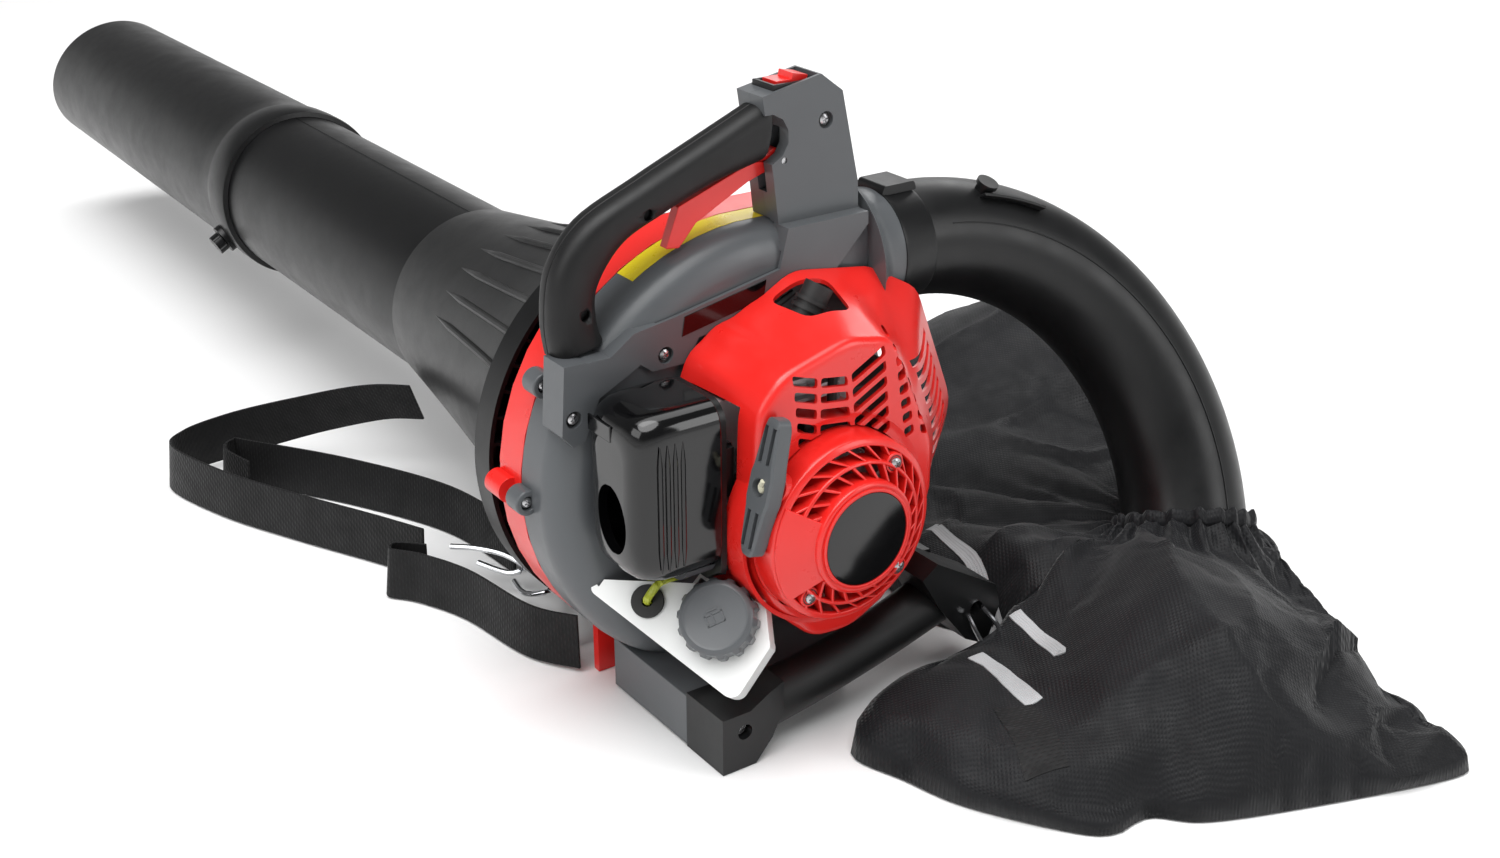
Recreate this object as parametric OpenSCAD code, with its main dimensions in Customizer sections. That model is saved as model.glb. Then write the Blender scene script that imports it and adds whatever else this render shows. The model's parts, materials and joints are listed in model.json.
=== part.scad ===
// Hand-held petrol blower-vacuum, set up as a vacuum with its collection bag.
// X runs along the fan and crank axis towards the starter, Y towards the outlet, Z is up.
// The origin lies on the sole of the foot, straight below the fan axis.

/* [Fan housing] */
// Height of the fan and crank axis above the sole
axis_z = 146; // [144:1:150]
// Outer radius where the scroll starts
scroll_r = 115; // [113:1:117]
// Growth of the outer radius over the 270 degrees of the scroll
scroll_growth = 40; // [36:1:42]
// Wall thickness of the moulded shells
wall = 2.6; // [2:0.1:3]
// Radius of the outlet neck
neck_r = 36; // [35:0.5:37]
// Radius of the intake hole
intake_r = 64; // [60:1:66]
// Number of impeller blades
blades = 8; // [6:1:12]

/* [Suction tube] */
// Outer radius of the near tube
tube_r = 70; // [66:0.5:72]
// Length of the flared hood
hood_len = 258; // [240:1:270]
// Length of the near tube beyond the hood
near_len = 373; // [300:1:380]
// Length of the far tube beyond the joint
far_len = 529; // [480:1:560]
// Slant of the nozzle's end, in degrees
nozzle_slant = 22; // [0:1:30]
// Radius of the ribbed flange
flange_r = 136; // [130:1:138]
// Number of ribs on the flange
flange_ribs = 24; // [12:1:32]

/* [Outlet elbow] */
// Radius of the bend's centre line
bend_r = 184; // [180:1:188]
// Angle through which the elbow turns
bend_sweep = 110; // [106:1:112]
// Lean of the bend's plane away from straight down
bend_lean = 28; // [26:1:30]
// Outer radius at the free end
elbow_end_r = 43; // [40:0.5:43]

/* [Engine] */
// Radius of the piston
piston_r = 17; // [15:0.5:17]
// Piston stroke
stroke = 28; // [24:1:28]
// Running clearance between turning or sliding parts
fit = 0.05; // [0.02:0.01:0.08]
// Number of cooling fins on the cylinder
fins = 8; // [5:1:9]
// Radius of the starter housing
starter_r = 57.5; // [57:0.5:58]
// Number of openings around the starter grille
grille_slots = 20; // [12:1:20]

/* [Handle] */
// Radius of the grip, seen from the side
grip_r = 15; // [14:0.5:15]
// Width of the grip across both halves
grip_w = 28; // [26:1:28]

/* [Fuel tank] */
// Thickness of the tank's slab
tank_t = 20; // [16:1:20]
// Radius of the fuel cap
cap_r = 24; // [22:0.5:24]

/* [Hidden] */
$fn = 64;

x_back = -8;
x_split = 18;
x_rim = 40;
x_face = 60;
x_frame = 63;
shoulder = 22;
shoulder_steps = 5;
outlet_y = 98;
neck = [23, 0, 260];
neck_end = 140;
foot_x = [-2, 102];
foot_y = [-82, 40];
foot_h = 36;
bar_x = [102, 141];
shaft_r = 6;
cyl_x = 88;
pull_dir = [0, -0.9397, 0.342];
knot = [145, -52, 184];
tank_corner = [50, -124, 104];
tank_turn = [0, 53.9, -47.06];
tank_spin = 59.5;
eps = 0.01;

// Helpers

// Extrudes a profile drawn in Y and Z from x over a length
module along_x(x, len) translate([x, 0, 0]) rotate([90, 0, 90]) linear_extrude(len) children();

// Moves to the fan axis at x, with local Z along +X
module on_axis(x) translate([x, 0, axis_z]) rotate([0, 90, 0]) children();

// A round hole or peg along X from x, at p in Y and Z
module pocket(x, p, r, h) translate([x, p.x, p.y]) rotate([0, 90, 0]) cylinder(r = r, h = h);

// A round bar from point a to point b
module rod(a, b, r) {
    d = b - a;
    translate(a) rotate([0, acos(d.z / norm(d)), atan2(d.y, d.x)]) cylinder(r = r, h = norm(d));
}

// Points of a smooth curve through the given ones, with n steps in each span
function smooth(p, n) = concat([for (i = [0 : len(p) - 2], k = [0 : n - 1])
    let (a = p[max(i - 1, 0)], b = p[i], c = p[i + 1], d = p[min(i + 2, len(p) - 1)], t = k / n)
    0.5 * (2 * b + (c - a) * t + (2 * a - 5 * b + 4 * c - d) * t * t + (3 * b - a - 3 * c + d) * t * t * t)],
    [p[len(p) - 1]]);

function unit(v) = v / norm(v);
function heading(p, i) = unit(p[min(i + 1, len(p) - 1)] - p[max(i - 1, 0)]);
function across(v, t) = unit(v - (v * t) * t);

// Sweeps a closed outline along a path; wide[i] is the outline's first axis at point i
module sweep(path, wide, outline) {
    n = len(path);
    m = len(outline);
    pts = [for (i = [0 : n - 1], q = outline)
        let (t = heading(path, i), w = across(wide[i], t))
        path[i] + q.x * w + q.y * cross(t, w)];
    faces = concat(
        [[for (j = [m - 1 : -1 : 0]) j]],
        [[for (j = [0 : m - 1]) (n - 1) * m + j]],
        [for (i = [0 : n - 2], j = [0 : m - 1]) [i * m + j, i * m + (j + 1) % m, (i + 1) * m + j]],
        [for (i = [0 : n - 2], j = [0 : m - 1])
            [i * m + (j + 1) % m, (i + 1) * m + (j + 1) % m, (i + 1) * m + j]]);
    polyhedron(pts, [for (f = faces) [for (k = [len(f) - 1 : -1 : 0]) f[k]]]);
}

// A cable, pipe or wire of radius r on a smooth line through the points
module wire(pts, r, steps = 4, up = [0.3, 0.9, 0.4]) {
    path = smooth(pts, steps);
    sweep(path, [for (p = path) up], [for (j = [0 : 7]) r * [cos(45 * j), sin(45 * j)]]);
}

function left_of(t) = [-t.y, t.x];

// A strip of half width r with round ends along a smooth line, in two dimensions
module chain(pts, r) {
    path = smooth(pts, 3);
    n = len(path) - 1;
    sides = [for (i = [0 : n]) r * left_of(heading(path, i))];
    start = heading(path, 0);
    end = heading(path, n);
    polygon(concat(
        [for (i = [0 : n]) path[i] + sides[i]],
        [for (a = [30 : 30 : 150]) path[n] + r * (cos(a) * left_of(end) + sin(a) * end)],
        [for (i = [n : -1 : 0]) path[i] - sides[i]],
        [for (a = [30 : 30 : 150]) path[0] - r * (cos(a) * left_of(start) + sin(a) * start)]));
}

// A rectangle with round corners, its corner at the origin
module round_rect(size, r) {
    translate([r, 0]) square([size.x - 2 * r, size.y]);
    translate([0, r]) square([size.x, size.y - 2 * r]);
    for (x = [r, size.x - r], y = [r, size.y - r]) translate([x, y]) circle(r);
}

function scroll_radius(a) = scroll_r + scroll_growth * a / 270;

// Outline of the scroll about the fan axis, grown by d
function scroll_points(d) = concat(
    [for (a = [0 : 9 : 270]) (scroll_radius(a) + d) * [cos(a), -sin(a)]],
    [[outlet_y + d, scroll_radius(270) + d], [outlet_y + d, neck.z - axis_z - neck_r - d]]);

module scroll(x, len, d) translate([0, 0, axis_z]) along_x(x, len) polygon(scroll_points(d));

// Rounded engine-side shoulder of the scroll, moved in by inset on every side
module scroll_body(inset) {
    step = (x_face - x_rim) / shoulder_steps;
    scroll(x_split, x_rim - x_split + eps, -inset);
    for (i = [0 : shoulder_steps - 1])
        scroll(x_rim + i * step - inset, step + eps, -inset - shoulder * (1 - cos(18 * i)));
}

// The same body with a little air around it, to cut neighbours back
module scroll_keepout() {
    scroll(x_back - 1, x_rim - x_back + 1, 0.5);
    step = (x_face - x_rim) / shoulder_steps;
    for (i = [0 : shoulder_steps - 1])
        scroll(x_rim + i * step - 1, step + 1.5, 0.5 - shoulder * (1 - cos(18 * i)));
}

module neck_cylinder(y, len, r) translate([neck.x, y + len, neck.z]) rotate([90, 0, 0]) cylinder(r = r, h = len);

module foot_block(x, len, h) translate([x, foot_y[0], 0]) cube([len, foot_y[1] - foot_y[0], h]);

boss_at = [[-144.5, 154], [-129.5, 225]];

// Fan housing

module intake_shell() color("#d8261c") difference() {
    union() {
        scroll(x_back, x_split - x_back, 0);
        foot_block(x_back, foot_x[0] - x_back - eps, foot_h + 8);
        on_axis(x_back - 12) cylinder(r = intake_r + 4, h = 12 + eps);
        translate([x_back, boss_at[0].x, boss_at[0].y]) rotate([0, 90, 0]) cylinder(r = 8, h = 17.9);
    }
    scroll(x_back + wall, x_split - x_back, -wall);
    on_axis(x_back - 13) cylinder(r = intake_r, h = 20);
    neck_cylinder(outlet_y - 8, 40, neck_r + 0.1);
    translate([foot_x[0] - 30, -75, -1]) cube([28, 70, 4]);
}

module engine_side_shell() color("#6b6f73") {
    difference() {
        union() {
            scroll_body(0);
            foot_block(foot_x[0], foot_x[1] - foot_x[0], foot_h);
            for (i = [0, 1]) translate([x_split + 0.1, boss_at[i].x, boss_at[i].y])
                rotate([0, 90, 0]) cylinder(r = 8, h = 14);
        }
        scroll_body(wall);
        scroll(x_back - 1, x_split - x_back + 1, 0.1);
        scroll(x_split - 1, 4, -wall);
        neck_cylinder(outlet_y - 10, 20, neck_r - wall);
        on_axis(x_rim) cylinder(r = shaft_r + 2, h = 40);
        for (b = boss_at) pocket(x_split + 11, b, 4.4, 40);
        foot_cavity();
    }
    difference() {
        neck_cylinder(outlet_y - wall, neck_end - outlet_y + wall, neck_r);
        neck_cylinder(outlet_y - 10, neck_end, neck_r - wall);
    }
}

// Hollow of the foot, left open towards the engine
module foot_cavity() difference() {
    translate([foot_x[0] + 3, foot_y[0] + 3, 3])
        cube([foot_x[1] - foot_x[0] - 6, foot_y[1] - foot_y[0] - 6, foot_h]);
    scroll(x_back, x_face - x_back + 3, 0);
}

module volute_screws() color("#c9ccd0") for (b = boss_at) difference() {
    pocket(x_split + 11.1, b, 4, 2.6);
    translate([x_split + 12.5, b.x, b.y]) rotate([0, 90, 0]) cylinder(r = 1.7, h = 3, $fn = 6);
}

module impeller() color("#2b2d30") on_axis(8) {
    difference() {
        union() {
            cylinder(r = 16, h = 42);
            translate([0, 0, 39]) cylinder(r = 86, h = 3);
        }
        translate([0, 0, -1]) cylinder(r = shaft_r + 0.02, h = 50);
    }
    for (a = [0 : 360 / blades : 359]) rotate(a) translate([15, -1.25, 1]) cube([71, 2.5, 38.5]);
}

module shredder_blade() color("#b9bdc2") on_axis(4) difference() {
    union() {
        cylinder(r = 14, h = 3);
        for (a = [0, 90]) rotate(a) translate([-46, -9, 0]) cube([92, 18, 3]);
    }
    translate([0, 0, -1]) cylinder(r = shaft_r + 0.02, h = 5);
}

module impeller_nut() color("#c9ccd0") on_axis(-4.1) difference() {
    cylinder(r = 9.8, h = 8, $fn = 6);
    translate([0, 0, 1]) cylinder(r = shaft_r + 0.02, h = 8);
}

// Suction tube

hood_x = [-50, -50 - hood_len];
near_x = [hood_x[1], hood_x[1] - near_len];
far_x = [near_x[1], near_x[1] - far_len];

module tube_hood() color("#1d1e20") {
    on_axis(0) rotate_extrude() polygon([
        [intake_r + 4.1, -14], [intake_r + 7, -14], [intake_r + 7, -46], [flange_r - 3, -46], [flange_r - 3, -34],
        [flange_r, -34], [flange_r, -50], [118, -50.5], [108, -90], [88, -200], [tube_r + 2.5, hood_x[1]],
        [tube_r + 0.1, hood_x[1]], [85.5, -200], [105.5, -90], [114, -53], [intake_r + 4.1, -53]]);
    for (a = [0 : 360 / flange_ribs : 359]) on_axis(-46.1) rotate(a)
        translate([intake_r + 6, -1, 0]) cube([flange_r - intake_r - 8, 2, 14]);
}

module near_tube() color("#1a1b1d") {
    on_axis(0) rotate_extrude() polygon([
        [tube_r, near_x[0] + 30], [tube_r - 2, near_x[0] + 30], [tube_r - 2, near_x[1] - 40], [tube_r, near_x[1] - 40]]);
}

collar_x = [near_x[1] + 32, near_x[1] - 10];

module far_tube() color("#161719") difference() {
    union() {
        on_axis(0) rotate_extrude() polygon([
            [tube_r + 0.3, collar_x[0]], [tube_r + 5, collar_x[0]], [tube_r + 5, collar_x[1]],
            [tube_r + 2.3, collar_x[1] - 6], [tube_r + 2.3, far_x[1]], [tube_r + 0.3, far_x[1]]]);
        translate([collar_x[1] - 16, -26, axis_z + tube_r - 1]) cube([40, 52, 9]);
        knob_frame() translate([-11, -16, -9]) cube([22, 32, 8]);
    }
    translate([far_x[1], 0, axis_z - tube_r - 3]) rotate([0, nozzle_slant, 0])
        translate([-100, -100, -100]) cube([100, 200, 400]);
    on_axis(far_x[1] - 50) cylinder(r = tube_r + 0.3, h = near_x[1] - far_x[1] + 100);
    knob_frame() translate([0, 0, -12]) cylinder(r = 3 + fit, h = 20);
}

// Frame of the locking knob, with local Z pointing out of the collar
module knob_frame() translate([collar_x[1] + 10, 0, axis_z] + (tube_r + 9) * [0, -sin(60), -cos(60)])
    rotate([120, 0, 0]) children();

module tube_knob() color("#26282b") knob_frame() {
    translate([0, 0, -5]) cylinder(r = 3, h = 6);
    difference() {
        cylinder(r = 9, h = 8);
        for (a = [0 : 60 : 359]) rotate(a) translate([10, 0, -1]) cylinder(r = 2.5, h = 12);
    }
}

// Outlet elbow: a bend that widens from the neck to its free end

bend_down = [sin(bend_lean), 0, -cos(bend_lean)];
bend_centre = [neck.x, neck_end - 5, neck.z] + bend_r * bend_down;
bend_side = [cos(bend_lean), 0, sin(bend_lean)];
elbow_rings = 18;
elbow_sides = 28;
function bend_out(a) = [0, sin(a), 0] - cos(a) * bend_down;
function bend_point(a) = bend_centre + bend_r * bend_out(a);
function elbow_radius(t) = neck_r + 1.5 + (elbow_end_r - neck_r - 1.5) * t;

module bend_solid(grow, a0, a1) {
    n = elbow_rings;
    m = elbow_sides;
    pts = [for (i = [0 : n], j = [0 : m - 1])
        let (t = i / n, a = a0 + (a1 - a0) * t, r = elbow_radius(t) + grow, b = 360 * j / m)
        bend_point(a) + r * (cos(b) * bend_out(a) + sin(b) * bend_side)];
    faces = concat(
        [[for (j = [0 : m - 1]) j]],
        [[for (j = [m - 1 : -1 : 0]) n * m + j]],
        [for (i = [0 : n - 1], j = [0 : m - 1]) [i * m + j, (i + 1) * m + j, i * m + (j + 1) % m]],
        [for (i = [0 : n - 1], j = [0 : m - 1])
            [i * m + (j + 1) % m, (i + 1) * m + j, (i + 1) * m + (j + 1) % m]]);
    polyhedron(pts, faces);
}

module outlet_elbow() color("#1d1e20") {
    difference() {
        union() {
            bend_solid(0, 0, bend_sweep);
            neck_cylinder(112, 30, neck_r + 3.2);
            translate([12, 112, neck.z + neck_r + 1]) cube([22, 26, 6]);
            rod([60, 170, 266], [68, 172, 270], 6);
        }
        bend_solid(-2.4, -1, bend_sweep + 1);
        neck_cylinder(110, neck_end - 110, neck_r + 0.1);
        neck_cylinder(110, 40, neck_r - 1);
    }
}

// Collection bag

module bag_pad(p, r, h) translate([p.x, p.y, 0]) cylinder(r = r, h = h, $fn = 24);

module collection_bag() color("#17181b") difference() {
    union() {
        hull() {
            bag_pad([360, 296], 14, 26);
            bag_pad([300, 90], 22, 26);
            bag_pad([190, 60], 30, 40);
            bag_pad([150, 330], 70, 86);
            bag_pad([90, 300], 80, 70);
        }
        hull() {
            bag_pad([150, 330], 70, 86);
            bag_pad([60, 290], 90, 80);
            bag_pad([-170, 450], 90, 96);
            bag_pad([-200, 370], 50, 60);
        }
        hull() {
            translate([128, 300, 64]) sphere(60, $fn = 32);
            bag_pad([150, 330], 66, 60);
            bag_pad([200, 280], 66, 50);
        }
    }
    bend_solid(0.6, 0, bend_sweep + 4);
    translate([96, 40, -10]) cube([62, 102, 200]);
    translate([-500, -100, -200]) cube([1200, 1200, 200]);
}

module bag_clip() color("#c9ccd0")
    wire([[144, 104, 50], [150, 112, 30], [152, 120, 18], [150, 128, 32], [144, 116, 52]], 1.6);

// Handle

grip_line = [[-118, 262], [-116, 288], [-97, 316], [-58, 334], [-14, 345], [12, 352]];

module frame_outline() {
    polygon([[-137, 206], [-134, 248], [-104, 247], [-88, 258], [-60, 262], [14, 276], [20, 300], [16, 330],
        [8, 378], [50, 386], [66, 374], [79, 317], [80, 292], [52, 264], [24, 255], [-44, 246], [-52, 232],
        [-76, 232], [-84, 238], [-112, 224], [-122, 200], [-130, 198]]);
}

frame_screws = [[-129, 215], [-67, 240]];
top_screw = [54, 358];

// One half of the frame: the bracket over the shell's face, and the column with its slots
module frame_half(x, len, column_x, column_len) difference() {
    union() {
        intersection() {
            along_x(x, len) frame_outline();
            translate([-100, -200, 0]) cube([300, 400, 300]);
        }
        intersection() {
            along_x(column_x, column_len) frame_outline();
            translate([-100, -200, 299.9]) cube([300, 400, 200]);
        }
    }
    scroll_keepout();
    neck_cylinder(outlet_y - wall, 60, neck_r + 0.5);
    along_x(-100, 300) chain(grip_line, grip_r + 0.2);
    for (p = frame_screws) pocket(x_frame - 3, p, 5.2, 20);
    pocket(50, top_screw, 5.2, 20);
    translate([29, 17, 368]) cube([22, 32, 30]);
    translate([36, -30, 318]) cube([8.4, 62, 38]);
    pocket(25, [trigger_pivot.y, trigger_pivot.z], 2, 30);
}

module handle_frame_right() color("#6b6f73") frame_half(40, x_frame - 40, 40, 13);

module handle_frame_left() color("#6b6f73") intersection() {
    frame_half(27, 12.9, 27, 12.9);
    translate([0, -10, 0]) cube([100, 200, 500]);
}

module grip_half(x, len) difference() {
    along_x(x, len) chain(grip_line, grip_r);
    for (p = [[-113, 271], [-70, 322]]) translate([46, p.x, p.y]) rotate([0, 90, 0]) cylinder(r = 3.5, h = 20);
    translate([35.5, -62, 310]) cube([9, 100, 24]);
    translate([35.5, -50, 318]) cube([9, 90, 22]);
    translate([35.5, -14, 318]) cube([9, 58, 30]);
    scroll_keepout();
}

module grip_right() color("#1b1c1e") grip_half(40.05, grip_w / 2);
module grip_left() color("#1b1c1e") grip_half(39.95 - grip_w / 2, grip_w / 2);

module handle_screws() color("#c9ccd0") {
    for (p = frame_screws) pocket(x_frame - 2.6, p, 4, 2.5);
    pocket(50, top_screw, 4, 2.5);
}

trigger_pivot = [40, 24, 338];

module trigger() color("#d8261c") difference() {
    along_x(36.5, 7) {
        translate([trigger_pivot.y, trigger_pivot.z]) circle(5.5);
        polygon([[26, 343], [8, 338], [-44, 320], [-53, 296], [-44, 295], [-32, 308], [4, 326], [26, 333]]);
    }
    pocket(30, [trigger_pivot.y, trigger_pivot.z], 2 + fit, 20);
}

module trigger_pin() color("#b9bdc2") pocket(28, [trigger_pivot.y, trigger_pivot.z], 2, 24);

module switch_bezel() color("#202124") difference() {
    translate([29.2, 17.2, 370]) cube([21.6, 31.6, 13]);
    translate([32, 20, 371.5]) cube([16, 26, 20]);
    pocket(29, [33, 379], 1.2, 24);
}

module stop_rocker() color("#e0241b") difference() {
    union() {
        translate([33, 22, 378]) cube([14, 22, 6]);
        translate([33, 33, 379]) rotate([0, 90, 0]) cylinder(r = 5, h = 14);
        translate([33, 33, 384]) rotate([-12, 0, 0]) cube([14, 11, 3.5]);
    }
    pocket(30, [33, 379], 1.2 + fit, 20);
}

module rocker_pin() color("#b9bdc2") pocket(29.3, [33, 379], 1.2, 21.4);

module throttle_cable() color("#151618")
    wire([[68, 20, 262], [70, 4, 256], [72, -16, 250], [76, -34, 242], [81.5, -49, 232], [82, -50, 222.7]], 2.2);

// Auxiliary handle

module aux_handle() color("#1b1c1e") wire([[121, -49, 25], [122, 0, 33], [122, 50, 44], [121, 98, 57]], 17);

module aux_rear_bracket() color("#1d1e20") difference() {
    along_x(bar_x[0] + 0.1, bar_x[1] - bar_x[0])
        polygon([[-82, 0], [-58, 0], [-46, 14], [-38, 30], [-38, 50], [-48, 46], [-62, 38], [-82, 38]]);
    rod([120.8, -59, 23.4], [122, 0, 33], 17.1);
    translate([bar_x[1] - 8, -66, 25]) rotate([0, 90, 0]) cylinder(r = 5, h = 20);
}

module aux_front_bracket() color("#1d1e20") difference() {
    union() {
        along_x(104, 37) polygon([[68, 84], [80, 92], [130, 62], [134, 46], [124, 20], [106, 30], [84, 58]]);
        along_x(44, 61) polygon([[84, 62], [84, 82], [104, 80], [112, 56]]);
    }
    scroll_keepout();
    rod([122, 50, 44], [120.8, 107, 59.4], 17.1);
    translate([bar_x[1] - 10, 114, 50]) rotate([0, 90, 0]) cylinder(r = 5, h = 20);
}

module aux_bolts() color("#c9ccd0") {
    translate([bar_x[1] - 8, -66, 25]) rotate([0, 90, 0]) cylinder(r = 4, h = 3);
    translate([bar_x[1] - 10, 114, 50]) rotate([0, 90, 0]) cylinder(r = 4, h = 3);
}

// Engine

module crankcase() color("#a9adb1") difference() {
    union() {
        on_axis(x_face + 0.1) cylinder(r = 34, h = 52);
        translate([66, -28, axis_z]) cube([44, 56, 40]);
    }
    on_axis(73) cylinder(r = 26, h = 30);
    on_axis(63) cylinder(r = 16, h = 10.5);
    on_axis(102.5) cylinder(r = 16, h = 10.5);
    on_axis(50) cylinder(r = shaft_r + 2, h = 80);
    translate([cyl_x, 0, axis_z]) cylinder(r = piston_r + fit, h = 50);
}

module crank_bearings() color("#c9ccd0") for (x = [63, 102.5]) on_axis(x) difference() {
    cylinder(r = 16, h = 9.5);
    translate([0, 0, -1]) cylinder(r = shaft_r + fit, h = 20);
}

module crankshaft() color("#b9bdc2") {
    on_axis(-3) cylinder(r = shaft_r, h = cyl_x - 3 + 3);
    on_axis(cyl_x + 3) cylinder(r = shaft_r, h = 138 - cyl_x - 3);
    for (x = [cyl_x - 8, cyl_x + 3]) on_axis(x) cylinder(r = 24, h = 5);
    translate([cyl_x - 4, 0, axis_z + stroke / 2]) rotate([0, 90, 0]) cylinder(r = 5, h = 8);
}

module engine_cylinder() color("#b3b7bb") difference() {
    union() {
        translate([cyl_x, 0, axis_z + 40.1]) cylinder(r = 22, h = 58);
        translate([cyl_x, 0, axis_z + 40.1]) translate([-22, -27, 0]) cube([44, 54, 5]);
        for (i = [0 : fins - 1]) translate([cyl_x - 26, -27, axis_z + 48 + 6.5 * i]) linear_extrude(2)
            round_rect([52, 54], 12);
        translate([cyl_x - 16, 20, axis_z + 52]) cube([32, 13.9, 26]);
        translate([cyl_x - 13, -34, axis_z + 52]) cube([26, 14, 22]);
    }
    translate([cyl_x, 0, axis_z]) cylinder(r = piston_r + fit, h = 92);
    plug_frame() translate([0, 0, -12]) cylinder(r = 6.1, h = 30);
    plug_frame() translate([0, 0, 3.4]) cylinder(r = 10, h = 20);
    translate([cyl_x - 10, 14, axis_z + 56]) cube([20, 30, 12]);
    translate([cyl_x - 8, -40, axis_z + 56]) cube([16, 28, 10]);
}

module plug_frame() translate([cyl_x, 6, axis_z + 96]) rotate([-32, 0, 0]) children();

module piston() color("#c4c8cc") difference() {
    translate([cyl_x, 0, axis_z + 60]) cylinder(r = piston_r, h = 28);
    translate([cyl_x, 0, axis_z + 59]) cylinder(r = piston_r - 3, h = 25);
}

module spark_plug() color("#e4e4e0") plug_frame() {
    translate([0, 0, -4]) cylinder(r = 6, h = 8);
    translate([0, 0, 3.5]) cylinder(r = 9, h = 6, $fn = 6);
    translate([0, 0, 9]) cylinder(r = 5, h = 12);
}

module plug_boot() color("#141517") plug_frame() difference() {
    union() {
        translate([0, 0, 11]) cylinder(r = 9, h = 24);
        for (z = [13, 18, 23]) translate([0, 0, z]) cylinder(r = 10.5, h = 2.4);
    }
    translate([0, 0, 10]) cylinder(r = 5.1, h = 12);
}

module ignition_coil() color("#1f2022") {
    translate([117, -16, axis_z + 48]) cube([12, 32, 16]);
    translate([119, -22, axis_z + 46.5]) cube([8, 9, 10]);
}

module ht_lead() color("#141517")
    wire([[123, 8, 210.4], [123, 8, 220], [120, 11, 236], [115.5, 13, 248], [107, 14, 253], [99, 13.5, 254]], 3);

module flywheel() color("#a9adb1") on_axis(115) {
    difference() {
        union() {
            cylinder(r = 44, h = 12);
            cylinder(r = 12, h = 20);
        }
        translate([0, 0, -1]) cylinder(r = shaft_r + 0.02, h = 30);
    }
    for (a = [0 : 30 : 359]) rotate(a) translate([16, -1.25, 11.9]) cube([27, 2.5, 9]);
}

module muffler() color("#55585c") difference() {
    translate([68, 34, 156]) cube([36, 50, 52]);
    translate([70, 36, 158]) cube([32, 46, 48]);
    translate([78, 80, 170]) cube([16, 10, 8]);
    translate([78, 30, axis_z + 56]) cube([20, 8, 12]);
}

primer = [88, -48];

module carburettor() color("#9ea2a6") difference() {
    union() {
        translate([74, -62, 190]) cube([28, 27.8, 32]);
        translate([primer.x, primer.y, 172]) cylinder(r = 12, h = 20);
    }
    translate([cyl_x, -70, 207]) rotate([-90, 0, 0]) cylinder(r = 7, h = 40);
    translate([primer.x, primer.y, 171]) cylinder(r = 10, h = 13);
}

module primer_bulb() color("#c8b25a") translate([primer.x, primer.y, 178]) rotate([180, 0, 0]) {
    cylinder(r = 9.9, h = 2.4);
    translate([0, 0, 2]) intersection() {
        sphere(9);
        cylinder(r = 9.5, h = 10);
    }
}

module choke_lever() color("#141517") translate([104, -59, 196]) rotate([0, 90, 0]) {
    cylinder(r = 5, h = 8);
    translate([-4, -4, 4]) cube([8, 8, 3.9]);
    translate([-3, -3, 7.8]) cube([30, 6, 4]);
}

// Air filter

// Room for the fuel cap and the fingers that turn it
module cap_relief() tank_frame() translate([tank_cap.x, tank_cap.y, -5]) cylinder(r = cap_r + 1.5, h = 40);

module filter_outline(grow) translate([63.4 - grow, 114 - grow]) round_rect([60.6 + 2 * grow, 118 + 2 * grow], 14);

// Extrudes a profile drawn in X and Z towards -Y from y
module along_y(y, len) translate([0, y, 0]) rotate([90, 0, 0]) linear_extrude(len) children();

module filter_base() color("#1b1c1e") difference() {
    along_y(-66, 4) filter_outline(-1);
    translate([cyl_x, -80, 207]) rotate([-90, 0, 0]) cylinder(r = 8, h = 20);
    cap_relief();
}

module filter_foam() color("#3a3c3e") difference() {
    along_y(-70.1, 20) filter_outline(-6);
    translate([74, -86, 130]) cube([38, 17, 86]);
    cap_relief();
}

module filter_cover() color("#0e0f10") difference() {
    union() {
        along_y(-70.1, 50) filter_outline(0);
        along_y(-120, 5) filter_outline(-3);
        for (i = [0 : 3]) translate([0, -118 + 7 * i, 0]) translate([123, 0, 132]) cube([2, 3, 84]);
    }
    along_y(-69, 51 - wall) filter_outline(-wall);
    along_y(-69, 56 - wall) filter_outline(-3 - wall);
    translate([80, -128, 140]) rotate([-90, 0, 0]) cylinder(r = 13, h = 20);
    translate([80, -128, 158]) rotate([-90, 0, 0]) cylinder(r = 12, h = 20);
    cap_relief();
}

// Fuel tank

module tank_frame() translate(tank_corner) rotate(tank_turn) rotate([0, 0, tank_spin]) children();

tank_cap = [84, 33];
tank_hole = [42, 16];

module fuel_tank() color("#f1f1ec") difference() {
    union() {
        tank_frame() translate([0, 0, -tank_t]) linear_extrude(tank_t) tank_outline();
        tank_frame() translate([54, 8, -42]) cube([40, 40, 30]);
        tank_frame() translate([tank_cap.x, tank_cap.y, -1]) cylinder(r = 17, h = 12);
    }
    scroll_keepout();
    tank_frame() translate([0, 0, -tank_t + 2]) linear_extrude(tank_t - 4) offset(delta = -6) tank_outline();
    tank_frame() translate([56, 10, -40]) cube([36, 36, 30]);
    tank_frame() translate([tank_cap.x, tank_cap.y, -3]) cylinder(r = 14, h = 20);
    tank_frame() translate([tank_hole.x, tank_hole.y, -4]) cylinder(r = 7, h = 10);
}

module tank_outline() {
    translate([13, 5]) circle(5);
    translate([112, 7]) circle(7);
    translate([111, 36]) circle(6);
    polygon([[13, 0], [112, 0], [119, 7], [117, 38], [98, 58], [80, 56], [11, 9.5]]);
}

module tank_grommet() color("#151618") tank_frame() translate([tank_hole.x, tank_hole.y, 0]) difference() {
    union() {
        translate([0, 0, -4]) cylinder(r = 6.9, h = 4);
        cylinder(r = 10, h = 2.5);
    }
    translate([0, 0, -5]) cylinder(r = 3.2, h = 20);
}

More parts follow.
